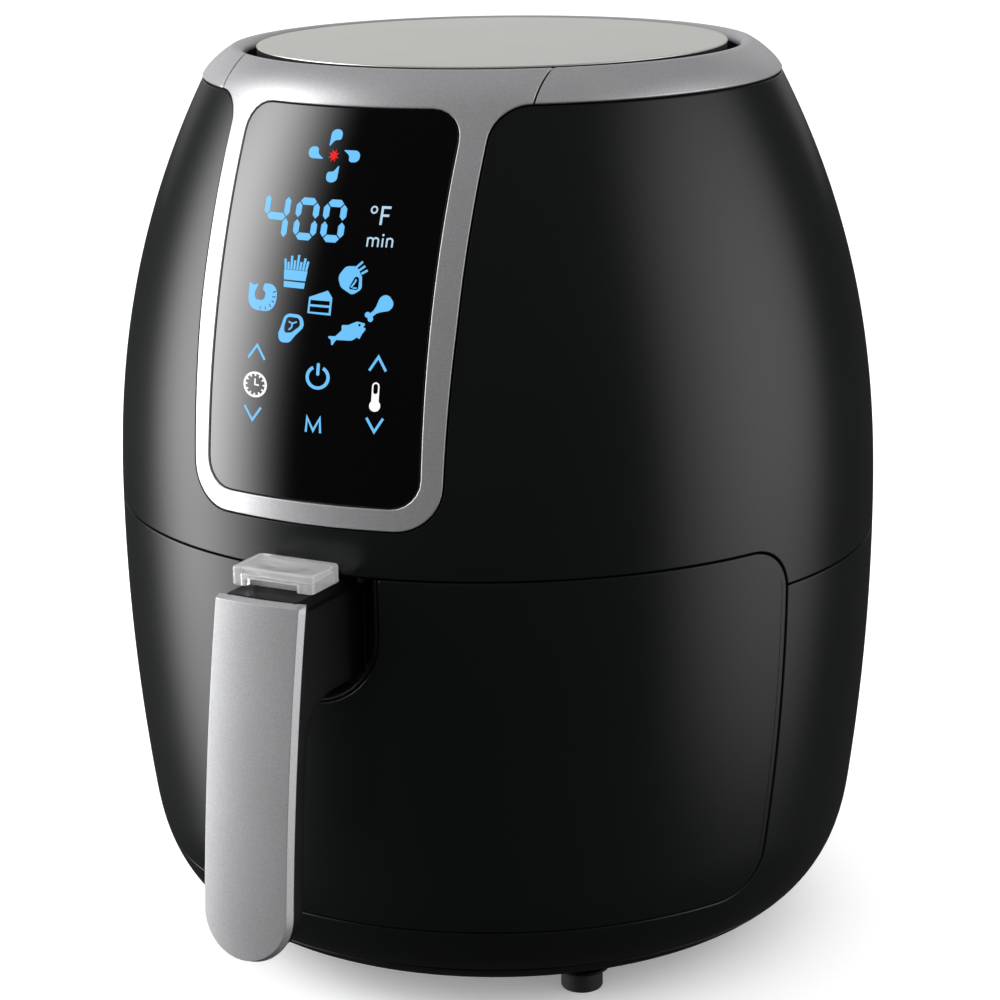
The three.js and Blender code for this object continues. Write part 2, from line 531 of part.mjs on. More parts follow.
function addHandle() {
  const { halfWidth, bottom, top, trim, depth } = HANDLE;
  const trimSide = prismX(handleSide(0, trim, bottom - 2, top), -30, 30);
  const trimFront = prismY(handleOutline(halfWidth + 0.6, bottom, top + 5), -FRONT_REACH, -150, 4);
  part("handle_trim", trimSide.intersect(trimFront), silverPaint);

  const coreHalf = 15.2;
  const gripSide = prismX(handleSide(trim + GAP, depth, bottom - 2, top), -coreHalf, coreHalf);
  const gripFront = prismY(handleOutline(coreHalf, bottom + 1, top + 5), -FRONT_REACH, -120, 4);
  const neckOutline = new THREE.Shape();
  neckOutline.moveTo(handleFaceY(top) + depth - 6, top);
  neckOutline.lineTo(handleFaceY(96) + depth - 4, 96);
  neckOutline.lineTo(handleFaceY(96) + depth, 96);
  neckOutline.quadraticCurveTo(-158, NECK_BOTTOM, -144, NECK_BOTTOM);
  neckOutline.lineTo(-122.3, NECK_BOTTOM);
  neckOutline.lineTo(-122.3, top);
  const neck = prismX(neckOutline, -coreHalf, coreHalf, 4);
  const core = union(gripSide.intersect(gripFront), neck)
    .subtract(box(-9.3, 9.3, -150.3, -137.7, 131, 160))
    .subtract(box(-3.6, 3.6, -150.3, -121, 121.4, 139.4))
    .subtract(box(12.7, 20, -170, -121, 147.4, 160))
    .subtract(box(-20, -12.7, -170, -121, 147.4, 160))
    .subtract(screwHole.translate([-9, 0, 0]))
    .subtract(screwHole.translate([9, 0, 0]));
  part("handle_core", core, blackPlastic);

  const screw = turnedAlongY(
    [[0, -130], [1.7, -130], [1.7, -120.2], [3.4, -120.2], [3.4, -118.9], [0, -118.9]], 8, 0, 140);
  for (const [side, x] of [["left", -9], ["right", 9]]) {
    part(`bracket_screw_${side}`, screw.translate([x, 0, 0]), brightSteel);
  }

  const wedgeSide = new THREE.Shape([[-143.5, 140], [-143.5, 136], [-139.2, 131.7], [-138.4, 131.7],
    [-138.4, 140]].map((p) => new THREE.Vector2(...p)));
  const button = box(-8.8, 8.8, -149.8, -138.2, 139.7, 150.8).add(prismX(wedgeSide, -2.8, 2.8));
  part("release_button", button, blackPlastic);
  for (const [side, x] of [["left", -6.4], ["right", 6.4]]) {
    const coilPoints = [];
    for (let i = 0; i <= 18; i += 1) {
      const angle = (i * Math.PI) / 3;
      coilPoints.push(new THREE.Vector3(1.9 * Math.cos(angle), 1.9 * Math.sin(angle), 131.8 + 0.4 * i));
    }
    const coil = rod(new THREE.CatmullRomCurve3(coilPoints), 0.35, 24, 2);
    part(`button_spring_${side}`, coil.translate([x, -144, 0]), brightSteel);
  }

  // Pressing the button drives the latch forwards, out of the hole in the pocket's back wall.
  const latchSide = new THREE.Shape([[-146, 121.8], [-116.4, 121.8], [-116.4, 125.4], [-136.5, 125.4],
    [-136.5, 128.5], [-144, 136], [-146, 136]].map((p) => new THREE.Vector2(...p)));
  part("latch_slide", prismX(latchSide, -3, 3), whitePlastic);

  const { rear, front } = GUARD;
  const arch = box(-9.5, 9.5, front - 2, front + 2.5, 151, 154.6);
  const dimple = cylinder(26, 0, 20, 28).rotate([0, 90, 0]).translate([-10, (rear + front) / 2, 182.8]);
  const guard = union(
    box(-GUARD.halfWidth, GUARD.halfWidth, front, rear, GUARD.bottom, GUARD.top),
    box(13, GUARD.halfWidth, rear - 9.5, rear, 147.8, 153),
    box(-GUARD.halfWidth, -13, rear - 9.5, rear, 147.8, 153),
  ).subtract(arch).subtract(dimple);
  part("button_guard", guard, clearGuard);
}

addHousing();
addTopAndDisplay();
addChamber();
addPowerUnit();
addDrawer();
addHandle();

// The origin is the middle of the object's footprint, handle included.
const air_fryer = new THREE.Group();
air_fryer.add(assembly);
const box3 = new THREE.Box3().setFromObject(assembly);
assembly.position.set(0, -(box3.min.y + box3.max.y) / 2, FOOT_HEIGHT);

export default air_fryer;
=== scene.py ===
# Looks of a round drawer air fryer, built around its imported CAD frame.
# Shapes are worked out in body coordinates: millimetres, with the body's axis at x = y = 0,
# z = 0 at its flat underside and the front towards -Y. Objects sit at that point, in metres.
import json
import math

import bpy
import numpy as np
from mathutils import Matrix, Vector
from mathutils.geometry import delaunay_2d_cdt


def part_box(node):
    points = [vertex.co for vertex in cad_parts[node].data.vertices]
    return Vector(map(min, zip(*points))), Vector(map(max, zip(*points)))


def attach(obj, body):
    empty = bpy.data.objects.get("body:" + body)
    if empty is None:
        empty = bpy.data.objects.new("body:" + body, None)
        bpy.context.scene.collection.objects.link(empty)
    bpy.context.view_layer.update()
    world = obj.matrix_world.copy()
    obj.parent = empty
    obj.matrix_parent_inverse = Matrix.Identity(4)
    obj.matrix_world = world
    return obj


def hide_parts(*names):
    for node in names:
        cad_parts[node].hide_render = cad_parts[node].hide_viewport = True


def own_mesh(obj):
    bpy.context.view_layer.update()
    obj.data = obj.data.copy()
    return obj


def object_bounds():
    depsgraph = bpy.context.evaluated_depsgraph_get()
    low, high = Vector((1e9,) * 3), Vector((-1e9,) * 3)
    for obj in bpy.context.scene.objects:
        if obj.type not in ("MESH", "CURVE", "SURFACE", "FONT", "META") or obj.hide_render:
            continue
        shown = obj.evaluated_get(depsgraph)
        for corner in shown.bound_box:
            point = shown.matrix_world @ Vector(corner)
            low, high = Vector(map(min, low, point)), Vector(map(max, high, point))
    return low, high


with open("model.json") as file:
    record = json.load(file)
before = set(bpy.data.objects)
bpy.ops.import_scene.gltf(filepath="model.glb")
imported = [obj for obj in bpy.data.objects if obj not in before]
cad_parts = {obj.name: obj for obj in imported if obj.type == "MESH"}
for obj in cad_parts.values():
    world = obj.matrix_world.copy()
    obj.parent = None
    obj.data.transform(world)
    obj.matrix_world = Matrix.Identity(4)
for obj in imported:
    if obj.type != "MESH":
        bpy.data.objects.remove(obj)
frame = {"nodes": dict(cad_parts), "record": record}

cad_low, cad_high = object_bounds()

MM = 0.001
BASE_BOSS = 0.6  # the foot bosses stand this far below the flat underside
cover_low, cover_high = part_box("top_cover")
ORIGIN = Vector((0, (cover_low.y + cover_high.y) / 2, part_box("base_cover")[0].z + BASE_BOSS * MM))
X, Y, Z = Vector((1, 0, 0)), Vector((0, 1, 0)), Vector((0, 0, 1))


def span(node):
    """Lowest and highest corner of a CAD node, in body coordinates."""
    low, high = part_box(node)
    return (low - ORIGIN) / MM, (high - ORIGIN) / MM


# ---- Outer form of the body ----
WAIST_RADIUS = span("upper_housing")[1].x
WAIST_Z = 146.5
RING_Z = 298.0
LIP_Z = 307.7  # above this the top ring rolls over into its bore
LIP_ROUND = 3.2
BASE_HEIGHT, BASE_ROUND = 45.5, 35.8
CROWN_HEIGHT, CROWN_ROUND = 11.9, 10.2
TOP_TAPER, LOW_TAPER = 34.1, 6.6e-4
GIRTH = 115.0  # mm of outline per radian round the body
HALF_TURN = math.pi * GIRTH
SEAM = 0.25  # half of an open seam


def clamp(value):
    return min(max(value, 0.0), 1.0)


def body_radius(z):
    """Radius of the outline, fitted to the photo: it narrows up and down from its waist."""
    above = max(z - WAIST_Z, 0) / (RING_Z - WAIST_Z)
    below = max(WAIST_Z - z, 0)
    base = clamp(1 - z / BASE_HEIGHT)
    crown = clamp((z - RING_Z) / CROWN_HEIGHT)
    taper = TOP_TAPER * above**2.3 + LOW_TAPER * below**2
    base_round = BASE_ROUND * (1 - (1 - base**2.5) ** 0.4)
    crown_round = CROWN_ROUND * (1 - math.sqrt(1 - crown**2))
    return WAIST_RADIUS - taper - base_round - crown_round


def wall_slope(z):
    return (body_radius(z + 0.01) - body_radius(z - 0.01)) / 0.02


LIP_TILT = math.atan(-wall_slope(LIP_Z))
LIP_CENTRE_R = body_radius(LIP_Z) - LIP_ROUND * math.cos(LIP_TILT)
LIP_CENTRE_Z = LIP_Z - LIP_ROUND * math.sin(LIP_TILT)
BORE_DEPTH = 0.5
RING_END = LIP_Z + (math.pi - LIP_TILT) * LIP_ROUND + BORE_DEPTH


def profile(w):
    """Radius, height and outward normal of the body at height w, or past LIP_Z along its lip."""
    if w <= LIP_Z:
        slope = wall_slope(w)
        length = math.hypot(1, slope)
        return body_radius(w), w, 1 / length, -slope / length
    turn = LIP_TILT + (w - LIP_Z) / LIP_ROUND
    if turn < math.pi:
        cos, sin = math.cos(turn), math.sin(turn)
        return LIP_CENTRE_R + LIP_ROUND * cos, LIP_CENTRE_Z + LIP_ROUND * sin, cos, sin
    return LIP_CENTRE_R - LIP_ROUND, LIP_CENTRE_Z - (turn - math.pi) * LIP_ROUND, -1, 0


# ---- Surfaces: (u, v, depth) to a point and its outward normal ----
def body_surface(proud):
    """The outer form, standing proud of it by proud(w)."""
    def at(u, w, depth):
        r, z, across, up = profile(w)
        below = depth - proud(w)
        turn = u / GIRTH
        sin, cos = math.sin(turn), math.cos(turn)
        ring = r - below * across
        point = Vector((ring * sin, -ring * cos, z - below * up))
        return point, Vector((across * sin, -across * cos, up))
    return at


def plane(origin, right, up):
    normal = right.cross(up)

    def at(u, v, depth):
        return origin + right * u + up * v - normal * depth, normal
    return at


def slopes(height, u, v):
    """Slopes of height(u, v) along u and v."""
    step = 0.05
    return ((height(u + step, v) - height(u - step, v)) / (2 * step),
            (height(u, v + step) - height(u, v - step)) / (2 * step))


def graph_y(height):
    """A surface seen from the front: y = height(x, z)."""
    def at(x, z, depth):
        slope_x, slope_z = slopes(height, x, z)
        normal = Vector((slope_x, -1, slope_z)).normalized()
        return Vector((x, height(x, z), z)) - normal * depth, normal
    return at


flush = body_surface(lambda w: 0.0)


# ---- Outlines: lists of 2-D points, with the material on their left ----
def points_of(*places):
    return [Vector(place) for place in places]


def area(loop):
    return sum(a.cross(b) for a, b in zip(loop, loop[1:] + loop[:1])) / 2


def hole(loop):
    """The outline run the other way, so that it bounds a hole."""
    return list(reversed(loop))


def anticlockwise(loop):
    return loop if area(loop) > 0 else hole(loop)


def rounded(corners, steps=8):
    """Outline through (x, y, radius) corners, with an arc at each one that has a radius."""
    points = []
    for i, (x, y, radius) in enumerate(corners):
        here = Vector((x, y))
        if radius == 0:
            points.append(here)
            continue
        before = (Vector(corners[i - 1][:2]) - here).normalized()
        after = (Vector(corners[(i + 1) % len(corners)][:2]) - here).normalized()
        half = before.angle(after) / 2
        centre = here + (before + after).normalized() * radius / math.sin(half)
        start = here + before * radius / math.tan(half) - centre
        end = here + after * radius / math.tan(half) - centre
        sweep = math.atan2(start.cross(end), start.dot(end))
        points += [centre + Matrix.Rotation(sweep * k / steps, 2) @ start for k in range(steps + 1)]
    return points


def dense(points, spacing, closed=True):
    """The same outline with its points at most spacing apart."""
    ends = points[1:] + (points[:1] if closed else [])
    made = []
    for a, b in zip(points, ends):
        count = max(1, math.ceil((b - a).length / spacing))
        made += [a.lerp(b, k / count) for k in range(count)]
    return made if closed else made + [points[-1]]


def arc(cx, cy, radius, start, end, steps):
    """Points on a circle, from one angle in degrees to another."""
    angles = [math.radians(start + (end - start) * k / steps) for k in range(steps + 1)]
    return [Vector((cx + radius * math.cos(a), cy + radius * math.sin(a))) for a in angles]


def circle(cx, cy, radius, steps=24):
    return arc(cx, cy, radius, 0, 360 * (steps - 1) / steps, steps - 1)


def box_loop(x0, x1, y0, y1, radius=0):
    return rounded([(x0, y0, radius), (x1, y0, radius), (x1, y1, radius), (x0, y1, radius)], 6)


def mirrored(points):
    """The outline's mirror image in x, in the order that keeps the material on its left."""
    return [Vector((-p.x, p.y)) for p in reversed(points)]


def offset(points, distance, closed=True):
    """The outline moved to its left."""
    made = []
    for i, here in enumerate(points):
        steps = []
        if closed or i > 0:
            steps.append(here - points[i - 1])
        if closed or i < len(points) - 1:
            steps.append(points[(i + 1) % len(points)] - here)
        sides = [Vector((-s.y, s.x)).normalized() for s in steps if s.length > 1e-9]
        normal = sum(sides, Vector((0, 0))).normalized()
        made.append(here + normal * distance / max(normal.dot(sides[0]), 0.4))
    return made


def from_front(points):
    """(x, w) points seen from the front, as (u, w) points on the body."""
    return [Vector((GIRTH * math.asin(p.x / profile(p.y)[0]), p.y)) for p in points]


def from_side(points):
    """(y, z) points seen from the right, as (u, w) points on the body's right half."""
    return [Vector((GIRTH * math.acos(-p.x / profile(p.y)[0]), p.y)) for p in points]


def inside(borders, points):
    """Which points lie inside an odd number of the closed outlines."""
    odd = np.zeros(len(points), bool)
    x, y = points[:, 0], points[:, 1]
    for border in borders:
        for a, b in zip(border, border[1:] + border[:1]):
            if a.y != b.y:
                crossing = (b.x - a.x) * (y - a.y) / (b.y - a.y) + a.x
                odd ^= ((a.y > y) != (b.y > y)) & (x < crossing)
    return odd


# ---- Closed shapes: points, normals and faces, in mm ----
EDGE_STEPS = 4
# Edges that bend more than this stay sharp: in pieces, cut pieces and CAD nodes.
PIECE_CREASE, CUT_CREASE, CAD_CREASE = (math.radians(angle) for angle in (40, 38, 35))


def quarter_turn():
    return [math.pi / 2 * k / EDGE_STEPS for k in range(EDGE_STEPS + 1)]


def rim_rings(edge, back_edge, depth):
    """A plate's rim as (inset, depth, tilt) rings, its front edge and back edge rounded."""
    rings = [(edge * (1 - math.sin(t)), edge * (1 - math.cos(t)), t) for t in quarter_turn()]
    if back_edge == 0:
        return rings + [(0, depth, 0.75 * math.pi)]
    return rings + [
        (back_edge * (1 - math.cos(t)), depth - back_edge * (1 - math.sin(t)), math.pi / 2 + t)
        for t in quarter_turn()
    ]


def patch(surface, loops, depth, edge=0.4, back_edge=0.0, grid=4.0, rows=None, band=False, rings=None):
    """A closed plate on a surface, from its outline and holes. Its points lie grid apart, or in
    rows at given heights, and rings are its rim as (inset, depth, tilt). In a band the first two
    loops are open chains, its lower edge and then its upper one, and it runs round the body."""
    rings = rings or rim_rings(edge, back_edge, depth)
    inset = max(ring[0] for ring in rings)
    shut = [not (band and i < 2) for i in range(len(loops))]
    rims = [offset(loop, inset, closed) for loop, closed in zip(loops, shut)]
    borders, rim_places = [], []
    if band:
        border = []
        for rim, other in (rims[:2], rims[1::-1]):
            rim_places.append(list(range(len(border), len(border) + len(rim))))
            border += rim + dense([rim[-1], other[0]], grid, closed=False)[1:-1]
        borders.append(border)
    for rim in rims[2 if band else 0:]:
        start = sum(len(border) for border in borders)
        rim_places.append(list(range(start, start + len(rim))))
        borders.append(rim)
    flat, edges = [], []
    for border in borders:
        start = len(flat)
        edges += [(start + k, start + (k + 1) % len(border)) for k in range(len(border))]
        flat += border

    border_points = np.array([p[:] for p in flat])
    low, high = border_points.min(0), border_points.max(0)
    columns = np.arange(low[0] + grid / 2, high[0], grid)
    levels = np.array(rows) if rows is not None else np.arange(low[1] + grid / 2, high[1], grid)
    inner = np.array([(u, w) for w in levels for u in columns]).reshape(-1, 2)
    inner = inner[inside(borders, inner)]
    nearest = np.full(len(inner), np.inf)
    for point in border_points:
        nearest = np.minimum(nearest, np.hypot(*(inner - point).T))
    inner = inner[nearest > (0.45 * grid if rows is None else 0.5)]
    made = delaunay_2d_cdt(flat + points_of(*inner), edges, [], 0, 1e-6)
    coords, triangles, sources = made[0], made[2], made[3]
    moved = {source: i for i, group in enumerate(sources) for source in group}
    centroids = np.array([np.mean([coords[i][:] for i in face], axis=0) for face in triangles])
    kept = [face for face, ok in zip(triangles, inside(borders, centroids)) if ok]
    rim_places = [[moved[i] for i in places] for places in rim_places]

    points, normals, faces = [], [], []
    for level, facing in ((0, 1), (depth, -1)):
        for p in coords:
            point, normal = surface(p.x, p.y, level)
            points.append(point)
            normals.append(normal * facing)
    for a, b, c in kept:
        if (coords[b] - coords[a]).cross(coords[c] - coords[a]) < 0:
            b, c = c, b
        faces.append((a, b, c))
        faces.append((len(coords) + a, len(coords) + c, len(coords) + b))

    ends = ((inset, 0), (inset, depth))
    for loop, closed, places in zip(loops, shut, rim_places):
        tracks = [places]
        within = offset(loop, 1.0, closed)
        outward = [surface(*a, 0)[0] - surface(*b, 0)[0] for a, b in zip(loop, within)]
        for ring_inset, ring_depth, tilt in rings:
            if any(math.hypot(ring_inset - i, ring_depth - d) < 1e-6 for i, d in ends):
                continue
            track = []
            for p, out in zip(offset(loop, ring_inset, closed), outward):
                point, normal = surface(p.x, p.y, ring_depth)
                side = (out - normal * out.dot(normal)).normalized()
                track.append(len(points))
                points.append(point)
                normals.append(normal * math.cos(tilt) + side * math.sin(tilt))
            tracks.append(track)
        tracks.append([len(coords) + i for i in places])
        count = len(loop) if closed else len(loop) - 1
        for inner_track, outer_track in zip(tracks, tracks[1:]):
            for i in range(count):
                j = (i + 1) % len(loop)
                faces.append((inner_track[i], outer_track[i], outer_track[j], inner_track[j]))
    return points, normals, faces


def grid_shape(rows, closed_rows, closed_columns):
    """A surface through rows of points, with normals from its own faces."""
    points = [p for row in rows for p in row]
    width, height = len(rows[0]), len(rows)
    faces = []
    for i in range(height if closed_columns else height - 1):
        for j in range(width if closed_rows else width - 1):
            below, above = i * width, (i + 1) % height * width
            k = (j + 1) % width
            faces.append((below + j, below + k, above + k, above + j))
    return points, None, faces


def lathe(outline, segments=96, centre=(0, 0), matrix=None):
    """A closed solid of revolution from (radius, z) points that run anticlockwise."""
    rows = []
    for k in range(segments):
        turn = 2 * math.pi * k / segments
        rows.append([
            Vector((centre[0] + p.x * math.cos(turn), centre[1] + p.x * math.sin(turn), p.y))
            for p in outline
        ])
    points, normals, faces = grid_shape(rows, True, True)
    faces = [
        face for face in faces
        if max(math.hypot(points[i].x - centre[0], points[i].y - centre[1]) for i in face) > 1e-6
    ]
    if matrix:
        points = [matrix @ p for p in points]
    return points, normals, [tuple(reversed(face)) for face in faces]


def coil(low, high, wire, turns, steps=24, sides=10):
    """An upright spring of round wire that fills a box, its end turns closed down flat."""
    centre = (low + high) / 2
    radius = (high.x - low.x) / 2 - wire
    bottom, top = low.z + wire, high.z - wire
    rows = []
    count = round(turns * steps)
    for k in range(count + 1):
        angle = 2 * math.pi * k / steps
        share = clamp((k / count - 0.12) / 0.76)
        out = Vector((math.cos(angle), math.sin(angle), 0))
        middle = Vector((centre.x, centre.y, bottom + (top - bottom) * share)) + out * radius
        thick = 0 if k in (0, count) else wire
        spokes = [2 * math.pi * j / sides for j in range(sides)]
        rows.append([middle + (out * math.cos(t) - Z * math.sin(t)) * thick for t in spokes])
    return grid_shape(rows, True, False)


def extrusion(outline, low, high, axis, edge=0.4, grid=4.0):
    """A plate between two levels of an axis, with rounded edges."""
    right, up = {"x": (Y, Z), "y": (X, Z), "z": (X, Y)}[axis]
    normal = right.cross(up)
    origin = normal * (-low if axis == "y" else high)
    return patch(plane(origin, right, up), [outline], high - low, edge, edge, grid)


def tidy(shape):
    """The shape with coincident points merged and the faces that vanish left out."""
    points, normals, faces = shape
    index, order, places = {}, [], []
    for i, point in enumerate(points):
        key = tuple(round(c, 4) + 0.0 for c in point)
        if key not in index:
            index[key] = len(order)
            order.append(i)
        places.append(index[key])
    clean = []
    for face in faces:
        loop = [places[i] for i in face]
        loop = [v for k, v in enumerate(loop) if v != loop[k - 1]]
        if len(loop) > 2:
            clean.append(loop)
    return [points[i] for i in order], [normals[i] for i in order] if normals else None, clean


def bare(shape):
    """The shape without its own normals."""
    return shape[0], None, shape[2]


def mesh_of(name, shapes):
    """One mesh from several shapes. Shapes with no normals are smoothed up to an angle."""
    points, normals, faces = [], [], []
    given = True
    for shape in shapes:
        shape_points, shape_normals, shape_faces = tidy(shape)
        start = len(points)
        points += shape_points
        faces += [[start + i for i in face] for face in shape_faces]
        given = given and shape_normals is not None
        normals += shape_normals or [Z] * len(shape_points)
    mesh = bpy.data.meshes.new(name)
    mesh.from_pydata([p * MM for p in points], [], faces)
    mesh.polygons.foreach_set("use_smooth", [True] * len(faces))
    mesh.update()
    if given:
        mesh.normals_split_custom_set_from_vertices([n.normalized() for n in normals])
    else:
        mesh.set_sharp_from_angle(angle=PIECE_CREASE)
    return mesh


def add_object(name, data):
    item = bpy.data.objects.new(name, data)
    bpy.context.scene.collection.objects.link(item)
    return item


def paint(item, material):
    item.data.materials.clear()
    item.data.materials.append(material)


def piece(name, shapes, slot, body, *nodes):
    """An object that rides on a CAD body, with the finish of a slot, standing for CAD nodes."""
    item = add_object(name, mesh_of(name, shapes))
    item.location = ORIGIN
    paint(item, FINISHES[slot])
    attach(item, body)
    if nodes:
        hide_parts(*nodes)
    return item


def carve(item, cutters):
    """Cuts shapes out of an object, then smooths it up to an angle."""
    for shape in cutters:
        cutter = add_object("cutter", mesh_of("cutter", [shape]))
        cutter.location = ORIGIN
        bpy.context.view_layer.update()
        cut = item.modifiers.new("cut", "BOOLEAN")
        cut.object = cutter
        cut.solver = "EXACT"
        graph = bpy.context.evaluated_depsgraph_get()
        mesh = bpy.data.meshes.new_from_object(item.evaluated_get(graph))
        item.modifiers.clear()
        item.data = mesh
        bpy.data.objects.remove(cutter)
    if "custom_normal" in item.data.attributes:
        item.data.attributes.remove(item.data.attributes["custom_normal"])
    item.data.polygons.foreach_set("use_smooth", [True] * len(item.data.polygons))
    item.data.set_sharp_from_angle(angle=CUT_CREASE)


# ---- Finishes ----
def feed(tree, socket, value):
    """Sets an input to a value, or links it to the output socket it takes its value from."""
    if isinstance(value, bpy.types.NodeSocket):
        tree.links.new(value, socket)
    else:
        socket.default_value = value


def feed_all(tree, node, inputs):
    for name, value in inputs.items():
        feed(tree, node.inputs[name.replace("_", " ")], value)


def add_node(tree, kind, output=0, **inputs):
    """A node's output socket. Its inputs are values, or the sockets that feed them."""
    node = tree.nodes.new(kind)
    feed_all(tree, node, inputs)
    return node.outputs[output]


def maths(tree, operation, *values):
    """The result of a math node on values and sockets."""
    node = tree.nodes.new("ShaderNodeMath")
    node.operation = operation
    for socket, value in zip(node.inputs, values):
        feed(tree, socket, value)
    return node.outputs[0]


GRAIN_SHARE = 0.75  # weight of the fine grain next to the broad cloud


def finish(name, colour, roughness, metallic=0.0, grain=900.0, tint=0.12, relief=0.01,
           spread=0.06, stretch=(1, 1, 1), sparkle=0.0, **sockets):
    """A material whose colour, roughness and relief vary with a fine grain and a broad cloud.
    grain and stretch are in cycles per metre, relief in mm."""
    material = bpy.data.materials.new(name)
    material.use_nodes = True
    tree = material.node_tree
    place = add_node(tree, "ShaderNodeTexCoord", "Object")
    scaled = add_node(tree, "ShaderNodeMapping", Vector=place, Scale=stretch)
    fine = add_node(tree, "ShaderNodeTexNoise", Vector=scaled, Scale=grain, Detail=3.0, Roughness=0.55)
    cloud = add_node(tree, "ShaderNodeTexNoise", Vector=place, Scale=14.0, Detail=2.0)
    blend = value = maths(tree, "MULTIPLY_ADD", fine, GRAIN_SHARE, cloud)
    if sparkle:
        flakes = add_node(tree, "ShaderNodeTexVoronoi", "Color", Vector=place, Scale=grain * 2.2)
        bright = add_node(tree, "ShaderNodeSeparateColor", "Red", Color=flakes)
        value = maths(tree, "MULTIPLY_ADD", bright, sparkle, blend)
    centre = (GRAIN_SHARE + 1 + sparkle) / 2
    shade = add_node(tree, "ShaderNodeMapRange", Value=value, From_Min=centre - 0.6, From_Max=centre + 0.6)
    mix = tree.nodes.new("ShaderNodeMix")
    mix.data_type = "RGBA"
    tree.links.new(shade, mix.inputs["Factor"])
    dark, light = (socket for socket in mix.inputs if socket.type == "RGBA")
    dark.default_value = (*[c * (1 - tint) for c in colour], 1)
    light.default_value = (*[min(c * (1 + tint), 1) for c in colour], 1)
    rough = add_node(tree, "ShaderNodeMapRange", Value=blend, From_Min=0.4, From_Max=1.35,
                     To_Min=max(roughness - spread, 0.02), To_Max=roughness + spread)
    sockets |= {"Metallic": metallic, "Roughness": rough}
    sockets["Base Color"] = next(socket for socket in mix.outputs if socket.type == "RGBA")
    if relief:
        sockets["Normal"] = add_node(tree, "ShaderNodeBump", Height=fine, Strength=1.0,
                                     Distance=relief * MM)
    feed_all(tree, tree.nodes["Principled BSDF"], sockets)
    return material


def glow(name, colour, strength):
    """A legend lit from behind: emission with a faint uneven base colour."""
    return finish(name, [c * 0.05 for c in colour], 0.35, grain=1500, tint=0.25, relief=0,
                  Emission_Color=(*colour, 1), Emission_Strength=strength, Specular_IOR_Level=0.2)


# Materials of the imported frame may hold the same names, and then these get a suffix.
FINISHES = {made.name.split(".")[0]: made for made in (
    finish("black_shell", (0.0056, 0.0064, 0.0062), 0.25, grain=2600, relief=0.0015, spread=0.03,
           tint=0.1, Specular_IOR_Level=0.36),
    finish("black_plastic", (0.0045, 0.0045, 0.005), 0.46, grain=3200, relief=0.012, tint=0.2,
           Specular_IOR_Level=0.24),
    finish("silver_paint", (0.475, 0.475, 0.488), 0.36, 0.55, grain=2600, tint=0.2, relief=0.004,
           sparkle=0.9),
    finish("cover_metal", (0.84, 0.835, 0.80), 0.36, 0.8, grain=1.0, tint=0.1, relief=0.004,
           stretch=(35, 2600, 35)),
    finish("display_glass", (0.0006, 0.0006, 0.0008), 0.08, grain=300, relief=0, spread=0.03,
           Specular_IOR_Level=0.72),
    finish("clear_plastic", (0.97, 0.975, 0.975), 0.07, grain=90, relief=0.01, tint=0.02,
           spread=0.03, Transmission_Weight=0.74, IOR=1.49),
    finish("rubber", (0.014, 0.014, 0.014), 0.75, grain=2400, relief=0.02, tint=0.25),
    finish("inner_plastic", (0.022, 0.022, 0.023), 0.55, grain=2000, relief=0.012, tint=0.2),
    finish("white_plastic", (0.78, 0.78, 0.74), 0.45, grain=1500, relief=0.005, tint=0.05),
    finish("sheet_steel", (0.5, 0.5, 0.49), 0.38, 0.9, grain=420, tint=0.18, relief=0.004, spread=0.1),
    finish("non_stick", (0.022, 0.022, 0.024), 0.38, 0.1, grain=1500, tint=0.55, relief=0.008,
           sparkle=0.5),
    finish("element_steel", (0.22, 0.19, 0.17), 0.42, 0.9, grain=500, tint=0.35, relief=0.006),
    finish("circuit_board", (0.02, 0.12, 0.05), 0.4, grain=260, tint=0.3, relief=0.01),
    finish("bright_steel", (0.62, 0.62, 0.63), 0.25, 1.0, grain=900, tint=0.1, relief=0.003),
)}
LEGENDS = {
    "blue": glow("legend_blue", (0.15, 0.53, 0.93), 1.0),
    "white": glow("legend_white", (0.96, 0.98, 1.0), 1.0),
    "pale": glow("legend_pale", (0.55, 0.78, 0.95), 0.85),
    "red": glow("legend_red", (0.84, 0.001, 0.001), 1.0),
}

# ---- Housing ----
drawer_low, drawer_high = span("drawer_front")
DRAWER_CORNER = 15.0
DRAWER_BACK = -40.0
ARC_Y = DRAWER_BACK - DRAWER_CORNER  # the corner arcs of the drawer's side view start here
SIDE_SEAM_Z = 138.5
BASE_SEAM_Z = 10.5
WALL = 2.5
INLET_Z = 42
DRAWER_GAP = 0.5


def corner_arc(grow, low_corner, start, end):
    """A corner of the drawer front, or of the opening round it, on the right half."""
    z = drawer_low.z + DRAWER_CORNER if low_corner else drawer_high.z - DRAWER_CORNER
    return from_side(arc(ARC_Y, z, DRAWER_CORNER + grow, start, end, 10))


def level(z, u0, u1, spacing=4.0):
    return dense([Vector((u0, z)), Vector((u1, z))], spacing, closed=False)


def right_edge(grow):
    """The upright rear edge of the drawer front on the right half, from bottom to top."""
    y = DRAWER_BACK + grow
    ends = [Vector((y, drawer_low.z + DRAWER_CORNER)), Vector((y, drawer_high.z - DRAWER_CORNER))]
    return from_side(dense(ends, 4.0, closed=False))


def all_round(half):
    """A chain right round the body from its right half, which starts at the front centre."""
    return half + [Vector((2 * HALF_TURN - p.x, p.y)) for p in reversed(half[:-1])]


BEZEL_BOTTOM = span("front_bezel")[0].z
ARM_X = span("front_bezel")[1].x


def bezel_side(grow, ring_low):
    """Right edge of the bezel from its bottom centre up to where it meets the ring, in (x, w)."""
    corners = [
        (0, BEZEL_BOTTOM - grow, 0), (45.5 + grow, BEZEL_BOTTOM - grow, 15 + grow),
        (47 + grow, 232, 60), (47 + grow, ring_low, 10 - grow), (ARM_X - SEAM, ring_low, 0),
    ]
    return rounded(corners, 10)


